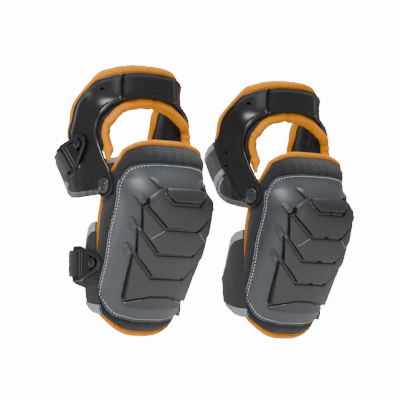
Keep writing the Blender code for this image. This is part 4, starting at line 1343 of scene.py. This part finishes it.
def build_cuff():
    drill(pair("cuff_arch", cuff_frame(), "cuff", PLASTIC, ["cuff_frame"], smooth=32))
    pair("cuff_arm_ends", cuff_boss(), "cuff", PLASTIC, smooth=32)
    padding = swell(cuff_cushion())
    pair("cuff_padding", padding, "cuff", MESH, ["cuff_cushion"], levels=1)
    opening, top = cuff_tape(0, OPENING_TAPE_END, OPENING_FOLDS, 0.8), cuff_tape(1, TOP_TAPE_END, (), 2.6)
    pair("opening_tape", opening, "cuff", TAPE, ["cuff_opening_binding"], levels=1)
    pair("top_tape", top, "cuff", TAPE, ["cuff_top_binding"], levels=1)
    pair("cuff_tape_stitches", cuff_tape_stitches(), "cuff", TAPE_THREAD)
    button = stud(THIGH_PLANE, -CUFF_HALF_WIDTH - 0.2)
    pair("thigh_button", button, "cuff", PLASTIC, ["thigh_stud"], smooth=35)
    wing = thigh_wing((-1, 1), 0, WING_THICKNESS)
    pair("thigh_wing_fabric", wing, "cuff", MESH, ["thigh_wing"], smooth=60)
    for end, band in (("bottom", (-1.01, -0.8)), ("top", (0.8, 1.01))):
        trim = thigh_wing(band, 0.3, WING_THICKNESS + 0.6, (0.5, 1.0))
        pair(f"thigh_wing_{end}_trim", trim, "cuff", TRIM, smooth=60)
    strap = strap_body(THIGH_PLANE, THIGH_ROUTE, seed=1.0)
    pair("thigh_webbing", strap, "cuff", WEBBING, ["thigh_strap"], smooth=60)
    for end, band in (("bottom", (-0.51, -0.33)), ("top", (0.33, 0.51))):
        trim = strap_body(THIGH_PLANE, THIGH_ROUTE, band, STRAP_THICKNESS + 0.7, 26)
        pair(f"thigh_webbing_{end}_trim", trim, "cuff", TRIM, smooth=60)


def build_clips():
    for place, plane in (("thigh", THIGH_PLANE), ("calf", CALF_PLANE)):
        body, replaced = f"{place}_clip_body", [f"{place}_clip"]
        pair(f"{place}_buckle", strap_clip(plane), body, PLASTIC, replaced, smooth=32)


def finish_cad_nodes():
    """The washers and anchors inside the hinges stay as CAD parts."""
    for side_name, _ in SIDES:
        for where in ("outer", "inner"):
            for node in ("hinge_washer", "hinge_anchor"):
                materials = frame["nodes"][f"{side_name}_{where}_{node}"].data.materials
                materials.clear()
                materials.append(PLASTIC)


# --- camera, floor and light -----------------------------------------------------------------------

CAMERA_AZIMUTH, CAMERA_ELEVATION = math.radians(-43), math.radians(-4)
CAMERA_DISTANCE, VIEW_WIDTH, SENSOR = 3.4, 0.5, 36.0       # metres, metres at the object, millimetres
RIVET_IN_VIEW = (-0.12225, 0.018375)        # the near rivet's place from the view's middle, in metres


def make_camera():
    azimuth, elevation = CAMERA_AZIMUTH, CAMERA_ELEVATION
    back = np.array([math.sin(azimuth) * math.cos(elevation), -math.cos(azimuth) * math.cos(elevation),
                     math.sin(elevation)])
    right = np.array([math.cos(azimuth), math.sin(azimuth), 0])
    up = np.cross(back, right)
    rivet = np.array([-(HALF_SPACING + RIVET_TOP) * METRES, 0, 0])
    target = rivet - right * RIVET_IN_VIEW[0] - up * RIVET_IN_VIEW[1]
    lens = bpy.data.cameras.new("camera")
    lens.sensor_width = SENSOR
    lens.lens = CAMERA_DISTANCE / VIEW_WIDTH * SENSOR
    lens.clip_end = 50
    camera = bpy.data.objects.new("camera", lens)
    turn = Matrix([Vector(right), Vector(up), Vector(back)]).transposed().to_4x4()
    camera.matrix_world = Matrix.Translation(target + back * CAMERA_DISTANCE) @ turn
    bpy.context.scene.collection.objects.link(camera)
    bpy.context.scene.camera = camera
    return target, right, up, back


def area_light(name, place, target, size, watts):
    light = bpy.data.lights.new(name, "AREA")
    light.shape = "RECTANGLE"
    light.size, light.size_y = size
    light.energy = watts
    lamp = bpy.data.objects.new(name, light)
    lamp.location = place
    lamp.rotation_euler = (Vector(target) - Vector(place)).to_track_quat("-Z", "Y").to_euler()
    bpy.context.scene.collection.objects.link(lamp)


FLOOR_HEIGHT = -0.45
BACKDROP_LIGHT, ROOM_LIGHT = 14.0, 0.26


def make_world():
    """A white backdrop that lights the object only softly."""
    world = bpy.data.worlds.new("studio")
    world.use_nodes = True
    tree = world.node_tree
    background = tree.nodes["Background"]
    background.inputs["Color"].default_value = (1, 1, 1, 1)
    seen = tree.nodes.new("ShaderNodeLightPath")
    strength = tree.nodes.new("ShaderNodeMapRange")
    strength.inputs["To Min"].default_value = ROOM_LIGHT
    strength.inputs["To Max"].default_value = BACKDROP_LIGHT
    tree.links.new(seen.outputs["Is Camera Ray"], strength.inputs["Value"])
    tree.links.new(strength.outputs["Result"], background.inputs["Strength"])
    bpy.context.scene.world = world


def make_floor():
    half = 14.0
    mesh = bpy.data.meshes.new("floor")
    corners = [(-half, -half), (half, -half), (half, half), (-half, half)]
    mesh.from_pydata([(x, y, FLOOR_HEIGHT) for x, y in corners], [], [(0, 1, 2, 3)])
    floor = bpy.data.objects.new("floor", mesh)
    bpy.context.scene.collection.objects.link(floor)
    paint = Finish("floor_paint", 0.9)
    paint.colour(paint.ramp(paint.noise(3), ((0.3, (0.86, 0.86, 0.87)), (0.7, (0.9, 0.9, 0.9)))))
    paint.shader.inputs["Emission Color"].default_value = (1, 1, 1, 1)
    paint.shader.inputs["Emission Strength"].default_value = 0.22
    mesh.materials.append(paint.material)


def make_lights(target, right, up, back):
    centre = np.array(target)
    area_light("key", centre + back * 1.1 - right * 0.25 + up * 1.75, centre, (0.8, 0.8), 46)
    area_light("edge", centre + back * 0.9 - right * 1.5 - up * 0.1, centre, (0.2, 1.2), 9)
    area_light("top", centre - back * 0.7 + up * 1.6, centre, (1.4, 0.4), 34)
    area_light("fill", centre + back * 1.7 + right * 1.4 + up * 0.3, centre, (1.0, 1.0), 9)


view = make_camera()
build_pad()
build_cuff()
build_clips()
finish_cad_nodes()
make_world()
make_floor()
make_lights(*view)
